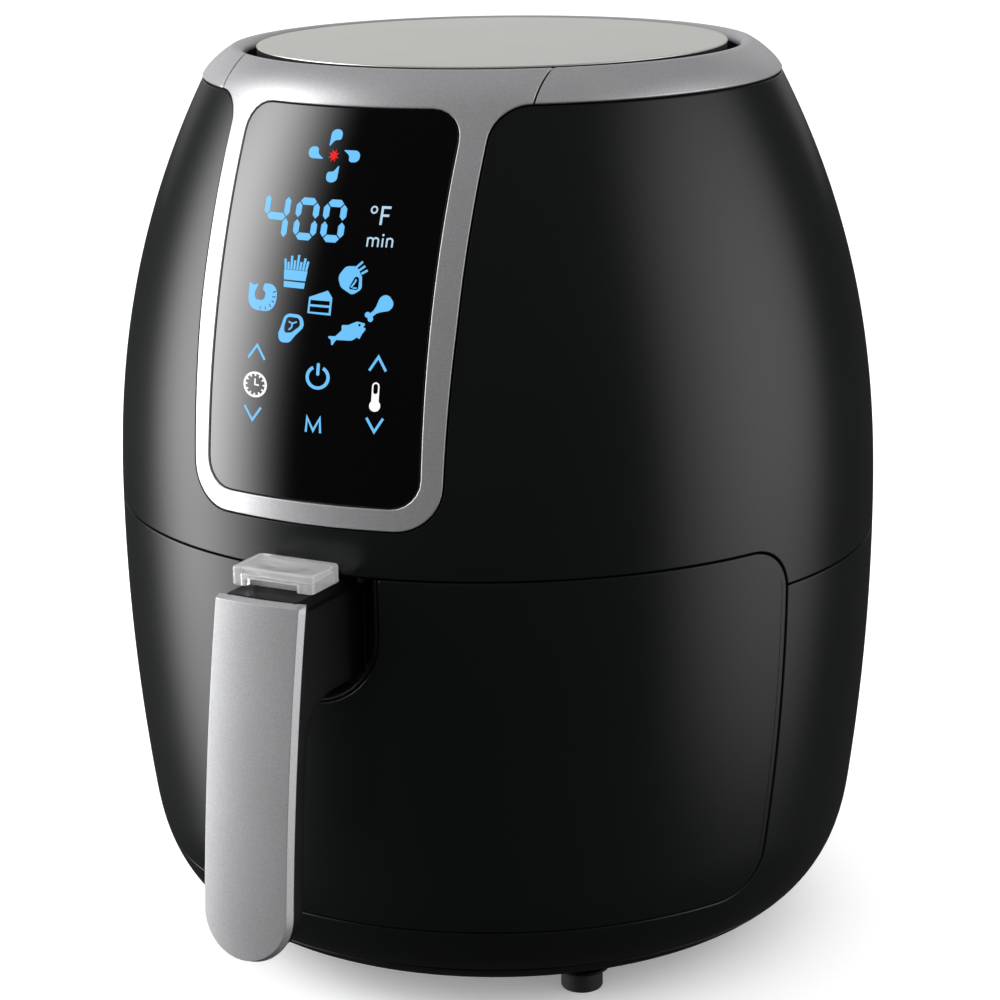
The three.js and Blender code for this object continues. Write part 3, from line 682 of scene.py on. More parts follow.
def vent_outline(inset):
    return box_loop(-45 + inset, 45 - inset, 158 + inset, 192 - inset, 6 - inset)


def add_housing():
    """Upper and lower shell, with the openings for the display, the drawer and the rear."""
    grow = DRAWER_GAP
    top = drawer_high.z + grow
    shoulder = math.degrees(math.asin((SIDE_SEAM_Z + SEAM - drawer_high.z + DRAWER_CORNER)
                                      / (DRAWER_CORNER + grow)))
    turn = corner_arc(grow, False, 90, shoulder)
    lower = level(top, 0, turn[0].x)[:-1] + turn
    lower += level(SIDE_SEAM_Z + SEAM, turn[-1].x, HALF_TURN)[1:]
    bezel = from_front(dense(bezel_side(2 * SEAM, RING_Z - SEAM), 4, closed=False))
    upper = bezel + level(RING_Z - SEAM, bezel[-1].x, HALF_TURN)[1:]
    vent = [Vector((HALF_TURN - p.x, p.y)) for p in from_front(dense(vent_outline(0), 4))]
    chains = [all_round(lower), hole(all_round(upper)), vent]
    shell = patch(flush, chains, WALL, 0.5, band=True, rows=np.arange(141, 297, 4.0))
    piece("upper_housing_shell", [shell], "black_shell", "housing", "upper_housing")

    low_turn = corner_arc(grow, True, -90, 0)
    rise = right_edge(grow)[1:] + from_side([Vector((DRAWER_BACK + grow, SIDE_SEAM_Z - SEAM))])
    upper = level(drawer_low.z - grow, 0, low_turn[0].x)[:-1] + low_turn + rise
    upper += level(SIDE_SEAM_Z - SEAM, rise[-1].x, HALF_TURN)[1:]
    lower = level(BASE_SEAM_Z + SEAM, 0, HALF_TURN)
    inlet = hole(circle(HALF_TURN, INLET_Z, 9, 28))
    rows = [12, 13.5, 15, 17, 19, 21, 23.5, 26, *np.arange(29, 138, 4.0)]
    chains = [all_round(lower), hole(all_round(upper)), inlet]
    shell = patch(flush, chains, WALL, 0.5, band=True, rows=rows)
    piece("lower_housing_shell", [shell], "black_shell", "housing", "lower_housing")


def add_base():
    """Base cover with foot bosses and two round grooves, and the four feet with their screws."""
    wall = [Vector((body_radius(z), z)) for z in (0.0, 0.15, 0.5, 1, 1.7, 2.6, 3.7, 5, 6.5, 8.2, 9.9)]
    rim = rounded([(body_radius(9.9) - 0.1, BASE_SEAM_Z - SEAM, 0), (108, BASE_SEAM_Z - SEAM, 0),
                   (100, 2.5, 3), (0, 2.5, 0)])
    grooves = []
    for r in (88.0, 74.0):
        groove = [(r - 1.2, 0, 0.3), (r - 0.8, 0.6, 0.2), (r + 0.8, 0.6, 0.2), (r + 1.2, 0, 0.3)]
        grooves += rounded(groove, 3)
    grooves.sort(key=lambda p: p.x)
    shapes = [lathe([Vector((0, 0)), *grooves, *wall, *rim], 128)]
    foot = rounded([(2.2, -0.9, 0), (2.2, -3.5, 0.3), (4, -3.5, 0.4), (4, -8, 0.4), (7.2, -8, 1.1),
                    (7.2, -0.9, 0.6)], 5)
    boss = rounded([(0, 0.5, 0), (0, -0.6, 0), (9.5, -0.6, 0.5), (9.5, 0.5, 0)], 4)
    screw = rounded([(0, -5.2, 0), (1.1, -5.2, 0.1), (1.1, -5.9, 0.1), (3.5, -5.6, 0.5), (3.5, -3.8, 0.2),
                     (1.7, -3.8, 0.2), (1.7, 16, 0.4), (0, 16, 0)], 3)
    for where in ("front_left", "front_right", "rear_left", "rear_right"):
        low, high = span(f"foot_{where}")
        centre = (low + high) / 2
        spot = (centre.x, centre.y)
        shapes.append(lathe(boss, 48, spot))
        piece(f"foot_{where}_rubber", [lathe(foot, 48, spot)], "rubber", "housing", f"foot_{where}")
        piece(f"foot_{where}_fixing", [lathe(screw, 32, spot)], "bright_steel", "housing",
              f"foot_screw_{where}")
    piece("base_cover_moulding", shapes, "black_plastic", "housing", "base_cover")


def add_rear():
    """Vent grille and cord inlet at the back."""
    outlines = [vent_outline(0.4)]
    for low in range(0, 30, 5):
        for x0, x1 in ((-39.5, -2.5), (2.5, 39.5)):
            outlines.append(hole(box_loop(x0, x1, 162.6 + low, 165.2 + low, 1.2)))
    loops = []
    for outline in outlines:
        loops.append([Vector((HALF_TURN + p.x, p.y)) for p in from_front(dense(outline, 3.5))])
    grille = patch(body_surface(lambda w: -0.2), loops, WALL, 0.35, grid=3.5)
    piece("rear_vent_moulding", [grille], "black_plastic", "housing", "rear_vent_grille")

    section = rounded([(4, 118.5, 0.2), (8.7, 118.5, 0.2), (8.7, 129.2, 0.3), (12.5, 129.2, 0.5),
                       (12.5, 132.4, 1.4), (6.5, 132.4, 0.6), (4, 130.6, 0.8)], 5)
    turn = Matrix.Translation((0, 0, INLET_Z)) @ Matrix.Rotation(-math.pi / 2, 4, "X")
    piece("cord_inlet_bush", [lathe(section, 48, matrix=turn)], "black_plastic", "housing", "cord_inlet")


# ---- Top ring, bezel, lens and cover ----
RING_LOW = RING_Z + SEAM
COVER_DOME = 0.8  # the cover's middle is this much higher than its rim
LENS_PROUD = 0.25
RING_WALL = 1.3
RING_ROWS = [*np.arange(299.2, LIP_Z - 0.5, 1.0), *np.arange(LIP_Z, RING_END, 0.4)]


def ease(value):
    return value * value * (3 - 2 * value)


def bezel_proud(w):
    return 0.5 * (1 - ease(clamp((w - 299) / 7)))


def add_top():
    """Bezel with the front of the ring, the rest of the ring, the lens and the cover."""
    side = bezel_side(0, RING_LOW)
    half = side + [Vector((ARM_X - SEAM, RING_END))]
    half_rows = dense(half, 2.0, closed=False)
    outline = half_rows + level(RING_END, ARM_X - SEAM, -(ARM_X - SEAM), 2.5)[1:-1]
    outline += mirrored(half_rows)[:-1]
    lens_low, lens_high = span("display_lens")
    hole_half = lens_high.x + 0.35
    opening = box_loop(-hole_half, hole_half, lens_low.z - 0.35, lens_high.z + 0.35, 9.85)
    window = hole(from_front(dense(opening, 3.0)))
    rows = [*np.arange(170, 297, 3.5), *RING_ROWS]
    loops = [from_front(outline), window]
    bezel = patch(body_surface(bezel_proud), loops, RING_WALL, 0.45, rows=rows, grid=3.5)
    piece("bezel_and_front_ring", [bezel], "silver_paint", "housing", "front_bezel")

    def seam_u(w):
        return GIRTH * math.asin((ARM_X + SEAM) / profile(w)[0])

    heights = np.linspace(RING_LOW, RING_END, 22)
    right = [Vector((seam_u(w), w)) for w in heights]
    left = [Vector((2 * HALF_TURN - p.x, p.y)) for p in right]
    outline = level(RING_LOW, right[0].x, left[0].x)[:-1] + left
    outline += level(RING_END, left[-1].x, right[-1].x)[1:-1] + hole(right[1:])
    ring = patch(body_surface(bezel_proud), [outline], RING_WALL, 0.45, rows=RING_ROWS, grid=3.5)
    piece("rear_ring", [ring], "silver_paint", "housing", "rear_top_ring")

    lens = from_front(dense(box_loop(lens_low.x, lens_high.x, lens_low.z, lens_high.z, 9.5), 3.0))
    glass = patch(body_surface(lambda w: LENS_PROUD), [lens], 2.4, 0.35, grid=3.5)
    piece("display_lens_glass", [glass], "display_glass", "housing", "display_lens")

    heights = np.linspace(295, 301, 7)
    hoop = [Vector((body_radius(z) - 2.2, z)) for z in heights]
    hoop += [Vector((body_radius(z) - 3.6, z)) for z in reversed(heights)]
    piece("ring_seam_hoop", [lathe(hoop, 128)], "black_plastic", "housing")

    bore = profile(RING_END)[0]
    sleeve = box_loop(bore, bore + RING_WALL, 296, 304.2)
    piece("top_ring_sleeve", [lathe(sleeve, 128)], "black_plastic", "housing")

    top = cover_high.z / MM - ORIGIN.z / MM
    radius = (cover_high.x - cover_low.x) / 2 / MM
    rim = top - COVER_DOME
    dome = [Vector((r, top - COVER_DOME * (r / radius) ** 2)) for r in (78, 70, 60, 48, 36, 24, 12, 0)]
    section = rounded([(0, 303.9, 0), (radius - 2, 303.6, 0), (radius - 2, rim - 0.5, 0),
                       (radius, rim - 0.5, 0.1), (radius, rim, 0.35), (79.5, rim + 0.03, 0)], 5)
    piece("top_cover_disc", [lathe(section + dome, 160)], "cover_metal", "housing", "top_cover")
    skirt = rounded([(radius - 1.9, 301.5, 0.3), (radius - 0.1, 301.5, 0.3),
                     (radius - 0.1, rim - 0.52, 0), (radius - 1.9, rim - 0.52, 0)], 4)
    stem = rounded([(0, 295.5, 0), (12, 295.5, 0.5), (12, 303.8, 0), (0, 303.8, 0)], 4)
    piece("top_cover_skirt", [lathe(skirt, 160), lathe(stem, 64)], "black_plastic", "housing")


# ---- Lit legends on the lens ----
def stroke(points, width, cap=0):
    """Outline of a line of constant width through points, its ends rounded if cap is set."""
    line = [Vector(p) for p in points]
    left = offset(line, width / 2, closed=False)
    right = offset(line, -width / 2, closed=False)
    if not cap:
        return right + hole(left)
    ends = []
    for tip, base in ((line[-1], right[-1]), (line[0], left[0])):
        spoke = base - tip
        ends.append([tip + Matrix.Rotation(math.pi * k / 6, 2) @ spoke for k in range(1, 6)])
    return right + ends[0] + hole(left) + ends[1]


def ring_loops(cx, cy, outer, inner, steps=28):
    return [circle(cx, cy, outer, steps), hole(circle(cx, cy, inner, steps))]


def spun(loop, degrees, x=0.0, y=0.0, scale=1.0, widen=1.0):
    """The outline turned about (0, 0), scaled, widened in x and moved."""
    turn = Matrix.Rotation(math.radians(degrees), 2)
    points = [turn @ p * scale for p in loop]
    return [Vector((p.x * widen + x, p.y + y)) for p in points]


def placed(shapes, x, z, scale=1.0, widen=1.0, degrees=0):
    return [[spun(loop, degrees, x, z, scale, widen) for loop in shape] for shape in shapes]


def seven_segments(lit, width, height, bar):
    """Bars of a seven-segment digit whose lower left corner is (0, 0). lit holds letters a to g."""
    gap = 0.28
    low, middle, high = bar / 2, height / 2, height - bar / 2
    left, right = bar / 2, width - bar / 2
    if "a" not in lit:
        low, high = 0, height
    ends = {
        "a": ((left, high), (right, high)), "d": ((left, low), (right, low)),
        "g": ((left, middle), (right, middle)), "f": ((left, high), (left, middle)),
        "b": ((right, high), (right, middle)), "e": ((left, middle), (left, low)),
        "c": ((right, middle), (right, low)),
    }
    loops = []
    for letter in lit:
        a, b = (Vector(p) for p in ends[letter])
        along = (b - a).normalized()
        across = Vector((-along.y, along.x)) * bar / 2
        a, b = a + along * gap, b - along * gap
        nose = along * bar / 2
        loops.append([a, a + nose - across, b - nose - across, b, b - nose + across, a + nose + across])
    return loops


def fan_legend():
    """Four curved drops round a star."""
    drop = rounded([(-1.9, -3.6, 0.15), (-0.4, -1.5, 1.6), (1.6, -1.4, 0.9), (1.6, 1.7, 1.5),
                    (-1.9, 1.7, 1.65)])
    places = [(-0.4, 288.5, 0), (7.0, 282.3, -90), (0.2, 276.1, 180), (-7.9, 283.1, 90)]
    return [[spun(drop, turn, x, z, 1.0, 1.15)] for x, z, turn in places]


def star_legend():
    return [[[arc(-0.3, 282.4, (0.95, 2.0)[k % 2], 22.5 * k, 360, 1)[0] for k in range(16)]]]


def digits_legend():
    shapes = []
    for x, width, lit in ((-23.6, 10.3, "bcfg"), (-10.9, 8.8, "abcdef"), (-0.5, 8.3, "abcdef")):
        for loop in seven_segments(lit, width, 12.8, 2.2):
            shapes.append([spun(loop, 0, x, 256.6)])
    return shapes


def fries_legend():
    shapes = [[points_of((-3.6, -4.6), (3.6, -4.6), (3.8, -2.9), (-3.8, -2.9))],
              [points_of((-3.85, -2.45), (3.85, -2.45), (4.2, 0.4), (-4.2, 0.4))]]
    for k, height in enumerate((3.4, 2.6, 4.4, 3.2, 4.8, 2.9, 4.0, 3.2)):
        x = -3.65 + 7.3 * k / 7
        lean = 0.14 * x
        shapes.append([stroke([(x, 0.5), (x + lean * height / 3.5, height)], 0.78)])
    return placed(shapes, -7.8, 246.9, 1.07)


def ham_legend():
    body = rounded([(-3.2, -3.0, 2.2), (1.0, -5.2, 2.0), (4.0, -3.2, 1.6), (3.6, 0.6, 1.6),
                    (1.4, 3.6, 1.6), (-2.2, 3.4, 2.4), (-4.6, 0.2, 2.4)])
    window = rounded([(-0.6, -3.4, 0.6), (2.8, -3.6, 0.7), (2.8, 0.2, 1.0), (1.4, 0.6, 0.8)])
    shapes = [[body, hole(window)], [stroke([(0.3, -2.9), (1.4, -1.4), (1.8, -0.4)], 0.55)],
              [stroke([(0.9, -3.0), (2.3, -3.0)], 0.4)]]
    for k in range(3):
        shift = Vector((0.95 * k, -0.95 * k))
        shapes.append([[p + shift for p in stroke([(1.4, 3.3), (3.3, 5.0 - 0.3 * k)], 0.7)]])
    return placed(shapes, 12.4, 246.4)


def shrimp_legend():
    """A curled body, open at its upper left, with the lines between its segments."""
    curl = rounded([(-5.7, 4.2, 0.4), (-5.5, -4.3, 4.0), (6.0, -4.3, 4.2), (6.0, 4.2, 3.2),
                    (0.4, 4.2, 1.0), (0.2, 2.1, 0.7), (1.4, 1.4, 0.4), (1.2, -1.1, 1.5),
                    (-3.3, -1.1, 1.6), (-2.9, 1.6, 0.9), (-1.8, 3.9, 0.2), (-3.9, 3.2, 0.2)])
    lines = [(5.6, 2.1, 4.3, 1.7), (5.6, 0.4, 4.3, 0.35), (5.3, -1.3, 4.1, -0.9),
             (4.2, -2.8, 3.2, -1.9), (2.2, -3.9, 1.7, -2.8), (-0.2, -4.0, -0.1, -2.9)]
    cuts = [hole(stroke([line[:2], line[2:]], 0.4)) for line in lines]
    return placed([[curl, *cuts]], -20.0, 238.2)


def cake_legend():
    outline = points_of((-4.2, -3.4), (4.2, -3.6), (4.2, 1.8), (2.4, 3.9), (-4.1, 1.5))
    slots = [hole(box_loop(-3.5, 3.5, *levels)) for levels in ((-2.9, -1.3), (-0.6, 0.7))]
    return placed([[outline, *slots]], 2.5, 238.2)


def drumstick_legend():
    meat = rounded([(-0.7, -3.9, 0.4), (0.7, -3.9, 0.4), (1.2, -2.4, 2), (2.65, 0, 2.2),
                    (2.5, 2.9, 2.1), (-2.5, 2.9, 2.1), (-2.65, 0, 2.2), (-1.2, -2.4, 2)])
    bone = stroke([(0, -3.5), (0, -6.0)], 1.4, 1)
    knobs = [[circle(x, -6.3, 0.95, 16)] for x in (-0.85, 0.85)]
    return placed([[meat], [bone], *knobs], 24.3, 238.9, 0.95, degrees=-49)


def steak_legend():
    rind = rounded([(-3.6, -4.6, 1.7), (-0.2, -4.4, 1.8), (1.4, -2.2, 2.0), (4.2, 0.8, 2.2),
                    (3.2, 4.2, 2.4), (-2.4, 4.3, 2.4), (-3.4, 0.2, 2.0), (-4.2, -2.0, 2.2)], 6)
    meat = hole(rounded([(-2.3, -1.7, 0.9), (0.2, -1.3, 0.9), (2.9, 0.9, 1.2), (2.4, 3.2, 1.2),
                         (-1.7, 3.3, 1.2), (-2.3, 0.6, 1.4)], 5))
    bone = (((-1.0, 1.9), (0.2, 1.4), (1.7, 2.0)), ((0.3, 1.3), (0.1, 0.2), (-0.8, -0.6)))
    shapes = [[rind, meat], *[[stroke(points, 0.45)] for points in bone]]
    return placed(shapes, -7.2, 229.7, 1.03, 1.12)


def fish_legend():
    outline = rounded([(-7.2, 1.5, 0.3), (-6.1, -0.1, 0.3), (-6.6, -2.1, 0.3), (-4.5, -0.6, 0.5),
                       (0.4, -2.5, 2.6), (2.4, -2.0, 0.3), (2.6, -3.0, 0.3), (4.0, -1.7, 0.4),
                       (5.9, -0.5, 0.4), (4.8, 0.1, 0.2), (6.1, 0.8, 0.4), (3.6, 2.4, 1.6),
                       (0.6, 2.3, 0.8), (-1.5, 3.0, 0.4), (-1.9, 1.5, 0.7), (-4.4, 0.5, 0.5)], 5)
    return placed([[outline, hole(circle(4.0, 1.1, 0.4, 10))]], 13.5, 229.7, 1.04, degrees=22)


def chevrons_legend():
    shapes = []
    for x, z, half, way in ((-20.0, 221.0, 3.4, 1), (24.1, 220.8, 2.7, 1),
                            (-20.4, 201.7, 3.4, -1), (24.1, 202.0, 2.7, -1)):
        points = [(x - half, z - 2.1 * way), (x, z + 2.2 * way), (x + half, z - 2.1 * way)]
        shapes.append([stroke(points, 0.8)])
    return shapes


def power_legend():
    outer = arc(0, 0, 3.8, 118, 422, 30)
    inner = arc(0, 0, 2.8, 422, 118, 26)
    bar = stroke([(0, 1.0), (0, 4.0)], 0.95, 1)
    return placed([[outer + inner], [bar]], 3.9, 215.4, 1.0, 1.14)


def mode_legend():
    points = [(-2.6, 0), (-2.3, 4.6), (0, 0.6), (2.3, 4.6), (2.6, 0)]
    return placed([[stroke(points, 0.75)]], 3.2, 198.1)


def clock_legend():
    shapes = [ring_loops(0, 0, 4.05, 3.35, 36)]
    for k in range(12):
        turn = math.radians(30 * k)
        way = Vector((math.cos(turn), math.sin(turn)))
        shapes.append([stroke([way * 2.65, way * 3.35], 0.5)])
    shapes.append([stroke([(0, 1.9), (0, 0), (1.4, -0.1)], 0.45)])
    return placed(shapes, -19.9, 210.8, 1.0, 1.2)


def thermometer_legend():
    x, z = 23.9, 210.6
    tube = stroke([(x, z - 1.6), (x, z + 3.4)], 2.4, 1)
    bore = hole(stroke([(x, z + 1.7), (x, z + 3.4)], 1.5, 1))
    return [[tube, bore], [circle(x, z - 2.7, 1.8, 24)]]


def unit_legend():
    """Degree sign with F, and min below it, in plain strokes."""
    shapes = [ring_loops(17.0, 267.0, 1.2, 0.7, 20)]
    shapes.append([stroke([(19.7, 262.6), (19.7, 267.8), (22.4, 267.8)], 0.75)])
    shapes.append([stroke([(20.0, 265.4), (22.1, 265.4)], 0.7)])
    x, z, bar = 16.3, 256.0, 0.5

    def hump(start, half, foot, rise):
        """An arch of an m or n, with its right leg."""
        turns = [math.pi * k / 6 for k in range(7)]
        points = [(start + half - half * math.cos(t), z + foot + rise * math.sin(t)) for t in turns]
        return [stroke([*points, (start + 2 * half, z)], bar)]

    def stem(at, height):
        return [stroke([(at, z), (at, z + height)], bar)]

    shapes += [hump(x, 0.875, 2.0, 0.65), hump(x + 1.75, 0.875, 2.0, 0.65)]
    shapes += [stem(x, 2.7), stem(x + 4.9, 2.65), [circle(x + 4.9, z + 3.6, 0.36, 12)]]
    return shapes + [hump(x + 6.3, 0.9, 1.95, 0.7), stem(x + 6.3, 2.7)]


LEGEND_DEPTH = 0.06
LEGEND_LIFT = 0.3
LEGEND_STEP = 0.004  # between a legend's shapes, so that they don't share a surface


def add_legends():
    legends = {
        "fan": (fan_legend, "blue"), "heat_star": (star_legend, "red"),
        "digits": (digits_legend, "blue"), "fries": (fries_legend, "blue"),
        "ham": (ham_legend, "blue"), "shrimp": (shrimp_legend, "blue"), "cake": (cake_legend, "blue"),
        "drumstick": (drumstick_legend, "blue"), "steak": (steak_legend, "blue"),
        "fish": (fish_legend, "blue"), "arrows": (chevrons_legend, "blue"),
        "power": (power_legend, "blue"), "mode": (mode_legend, "blue"),
        "clock": (clock_legend, "white"), "thermometer": (thermometer_legend, "white"),
        "units": (unit_legend, "pale"),
    }
    for name, (make, colour) in legends.items():
        plates = []
        for rank, (outline, *holes) in enumerate(make()):
            surface = body_surface(lambda w, lift=LEGEND_LIFT + LEGEND_STEP * rank: lift)
            loops = [from_front(dense(loop, 1.6)) for loop in (anticlockwise(outline), *holes)]
            plates.append(patch(surface, loops, LEGEND_DEPTH, 0, grid=2.5))
        paint(piece(f"legend_{name}", plates, "display_glass", "housing"), LEGENDS[colour])


# ---- Drawer front and the pocket behind the handle ----
POCKET_HALF = 25.2
POCKET_ARC_Z = 133.5
CHAMBER_Y = -8.0
PAN_ROOM = 106.6
SKIN = 2.8
COLLAR_WALL = 2.4


def pocket_u(half, top):
    """U of the pocket seen from the front, from its right top end to its left one."""
    return [Vector((half, top)), *arc(0, POCKET_ARC_Z, half, 0, -180, 18), Vector((-half, top))]


def add_drawer_front():
    """Front skin, the collar behind its top, sides and bottom, and the floor under the pan."""
    low_turn = corner_arc(0, True, -90, 0)
    high_turn = corner_arc(0, False, 0, 90)
    notch = rounded([(70, drawer_high.z, 0), (POCKET_HALF, drawer_high.z, 1.2),
                     (POCKET_HALF, POCKET_ARC_Z, 0)], 5)[1:-1]
    half = level(drawer_low.z, 0, low_turn[0].x)[:-1] + low_turn + right_edge(0)[1:-1] + high_turn
    half += level(drawer_high.z, high_turn[-1].x, from_front(notch[:1])[0].x)[1:-1]
    half += from_front(notch)
    bow = arc(0, POCKET_ARC_Z, POCKET_HALF, 0, -90, 12)
    half += from_front(dense([notch[-1], bow[0]], 3, closed=False)[1:-1] + bow)
    outline = half + mirrored(half)[1:-1]
    rows = [30.5, 32.5, 35, *np.arange(38, 152, 4.0)]
    shapes = [patch(flush, [outline], SKIN, 0.6, rows=rows)]

    bend = DRAWER_CORNER * math.pi / 2
    height = drawer_high.z - drawer_low.z - 2 * DRAWER_CORNER

    def round_the_back(s):
        """y, z and normal of the moulding's side view, s mm from where its top starts to curve."""
        if s < 0:
            return ARC_Y + s, drawer_high.z, Z
        if bend <= s < bend + height:
            return DRAWER_BACK, drawer_high.z - DRAWER_CORNER - (s - bend), Y
        if s < bend:
            turn = s / DRAWER_CORNER
            normal = Y * math.sin(turn) + Z * math.cos(turn)
            centre_z = drawer_high.z - DRAWER_CORNER
        else:
            turn = min((s - bend - height) / DRAWER_CORNER, math.pi / 2)
            normal = Y * math.cos(turn) - Z * math.sin(turn)
            centre_z = drawer_low.z + DRAWER_CORNER
        point = Vector((0, ARC_Y, centre_z)) + normal * DRAWER_CORNER
        return point.y, point.z, normal

    def collar(x, s, depth):
        y, z, normal = round_the_back(s)
        return Vector((x, y, z)) - normal * depth, normal

    def reach(s, pan_side):
        """x of the collar's outer edge, at the skin, or of its edge round the pan."""
        y, z, _ = round_the_back(s)
        if pan_side:
            return math.sqrt(PAN_ROOM**2 - (y - CHAMBER_Y) ** 2)
        return math.sqrt((body_radius(z) - 0.7) ** 2 - y**2)

    def deck_edge(radius, centre_y):
        """Edge along the flat top, from beside the pocket to where the moulding curves."""
        start = math.asin((POCKET_HALF + 0.2) / radius)
        end = math.acos((centre_y - ARC_Y) / radius)
        turns = np.linspace(start, end, 22)
        return [Vector((radius * math.sin(t), centre_y - radius * math.cos(t) - ARC_Y)) for t in turns]

    stations = np.linspace(0, 2 * bend + height, 52)[1:]
    outer = deck_edge(body_radius(drawer_high.z) - 0.7, 0)
    outer += [Vector((reach(s, False), s)) for s in stations]
    inner = deck_edge(PAN_ROOM, CHAMBER_Y) + [Vector((reach(s, True), s)) for s in stations]
    collar_outline = anticlockwise(outer + hole(inner))
    for loop in (collar_outline, mirrored(collar_outline)):
        shapes.append(patch(collar, [loop], COLLAR_WALL, 0.35, grid=3.0))

    floor_radius = body_radius(drawer_low.z) - 0.8
    sweep = math.degrees(math.acos(-ARC_Y / floor_radius))
    bow = [Vector((p.x, -p.y)) for p in reversed(arc(0, 0, floor_radius, -90 - sweep, -90 + sweep, 40))]
    floor = anticlockwise(bow + points_of((-100, 48), (100, 48)))
    screws = [hole(circle(x, 80, 4, 20)) for x in (-40, 40)]
    below = plane(Vector((0, 0, drawer_low.z)), X, -Y)
    shapes.append(patch(below, [dense(floor, 6), *screws], COLLAR_WALL, 0.3, grid=8.0))
    piece("drawer_front_moulding", shapes, "black_shell", "drawer", "drawer_front")


def add_inner_panel():
    """Bent steel sheet between the drawer front and the pan, cut out for the handle."""
    low, high = span("drawer_inner_panel")
    radius = CHAMBER_Y - low.y

    def sheet(u, z, depth):
        out = X * math.sin(u / radius) - Y * math.cos(u / radius)
        return Vector((0, CHAMBER_Y, z)) + out * (radius - depth), out

    reach = radius * math.acos((CHAMBER_Y - high.y) / radius)
    notch = radius * math.asin(26 / radius)
    right = [(reach, low.z, 3), (reach, high.z, 3), (notch, high.z, 2), (notch, 112, 4)]
    left = [(-u, z, round_off) for u, z, round_off in reversed(right)]
    panel = patch(sheet, [dense(rounded(right + left), 4)], 1.2, 0.3, 0.3)
    piece("drawer_inner_sheet", [panel], "sheet_steel", "drawer", "drawer_inner_panel")


def add_pocket():
    """Cup behind the handle: a U wall that ends on the body's surface, and its back wall."""
    cup_high = span("handle_escutcheon")[1]
    back_y = cup_high.y - 2.2
    top = cup_high.z
    chain = dense(pocket_u(POCKET_HALF - 0.3, top), 3, closed=False)

    def wall_row(inset, behind=0.0, y=None):
        """A line of the wall, at a y or at a distance behind the body's surface."""
        row = []
        for p in offset(chain, -inset, closed=False):
            surface_y = -math.sqrt(body_radius(p.y) ** 2 - p.x**2)
            row.append(Vector((p.x, surface_y + behind if y is None else y, p.y)))
        return row

    lip = ((0, 0.5), (0.1, 0.15), (0.3, 0.0), (0.7, 0.0), (0.9, 0.15), (1.0, 0.5))
    rows = [wall_row(0, y=cup_high.y), *[wall_row(*place) for place in lip], wall_row(1.0, y=back_y)]
    wall = grid_shape(rows, False, True)
    width, height = len(chain), len(rows)
    wall[2].append([width * i for i in range(height)])  # the two ends at the top
    wall[2].append([width * i + width - 1 for i in reversed(range(height))])
    slot_half, slot_low = 15.5, 129.0
    slot = points_of((slot_half, top), (slot_half, slot_low), (-slot_half, slot_low), (-slot_half, top))
    outline = anticlockwise(slot + hole(pocket_u(POCKET_HALF - 0.8, top)))
    latch_hole = hole(box_loop(-3.6, 3.6, 121.4, 126, 0.4))
    facing = plane(Vector((0, back_y, 0)), X, Z)
    back = patch(facing, [dense(outline, 3), latch_hole], 2.2, 0.2, grid=5.0)
    piece("handle_pocket", [wall, bare(back)], "black_plastic", "drawer", "handle_escutcheon")


# ---- Handle, release button and its guard ----
trim_low, trim_high = span("handle_trim")
TRIM_DEPTH = 3.9
GRIP_DEPTH = 12.0
CORE_HALF = 15.2
NECK_BOTTOM = 117.5
NECK_REAR = -122.3
FACE_CROWN = 1.3


def handle_face(z):
    """y of the handle's front along its middle."""
    t = (z - 100) / 100
    return -172.3 + 13.7 * t + 6.6 * t * t


def trim_outline(half, bottom, top):
    """Square top and a full round bottom, anticlockwise."""
    return [Vector((half, top)), Vector((-half, top)), *arc(0, bottom + half, half, 180, 360, 28)]


def add_handle():
    """Silver front plate and the black grip, whose neck holds the button and the latch."""
    half = trim_high.x
    face = graph_y(lambda x, z: handle_face(z) + FACE_CROWN * (x / half) ** 2)
    chamfer = math.radians(66)
    rings = [(1.5, 0, 0), (1.38, 0.03, chamfer / 3), (1.28, 0.14, chamfer * 2 / 3), (1.2, 0.34, chamfer),
             (0.1, 3.2, chamfer), (0.03, 3.4, 1.35), (0, 3.6, math.pi / 2), (0, TRIM_DEPTH - 0.7, 2.3)]
    outline = dense(trim_outline(half, trim_low.z, trim_high.z + 0.3), 3)
    plate = patch(face, [outline], TRIM_DEPTH - 0.7, rings=rings, grid=3.0)
    piece("handle_trim_plate", [plate], "silver_paint", "drawer", "handle_trim")

    bottom, top = trim_low.z + 1, trim_high.z
    front = [Vector((handle_face(z) + TRIM_DEPTH, z)) for z in np.linspace(bottom, top, 30)]
    rear = [Vector((handle_face(z) + GRIP_DEPTH, z)) for z in np.linspace(98, bottom, 16)]
    grip_rear = handle_face(98) + GRIP_DEPTH
    sweep = rounded([(NECK_REAR, top, 0), (NECK_REAR, NECK_BOTTOM, 0), (grip_rear, NECK_BOTTOM, 17),
                     (grip_rear, 98, 0)], 12)
    outline = anticlockwise(hole(front + sweep + rear[1:]))
    round_z = bottom + CORE_HALF

    def core(y, z, depth):
        drop = clamp((round_z - z) / CORE_HALF)
        width = math.sqrt(max(1 - drop * drop, 0.0004))
        return Vector(((CORE_HALF - depth) * width, y, z)), X

    solid = patch(core, [dense(outline, 2.5)], 2 * CORE_HALF, 1.1, 1.1, grid=3.0)
    item = piece("handle_core_grip", [solid], "black_plastic", "drawer", "handle_core")
    button_low, button_high = span("release_button")
    room = box_loop(button_low.x - 0.5, button_high.x + 0.5, button_low.y - 0.5, button_high.y + 0.5, 1)
    well = extrusion(room, 131, top + 9, "z", 0.1)
    run = extrusion(box_loop(-150.3, -110, 121.4, 139.4), -3.6, 3.6, "x", 0.05)
    steps = [extrusion(box_loop(x, x + 7.3, -170, -121), 147.4, top + 9, "z", 0.05) for x in (12.7, -20)]
    carve(item, [well, run, *steps])


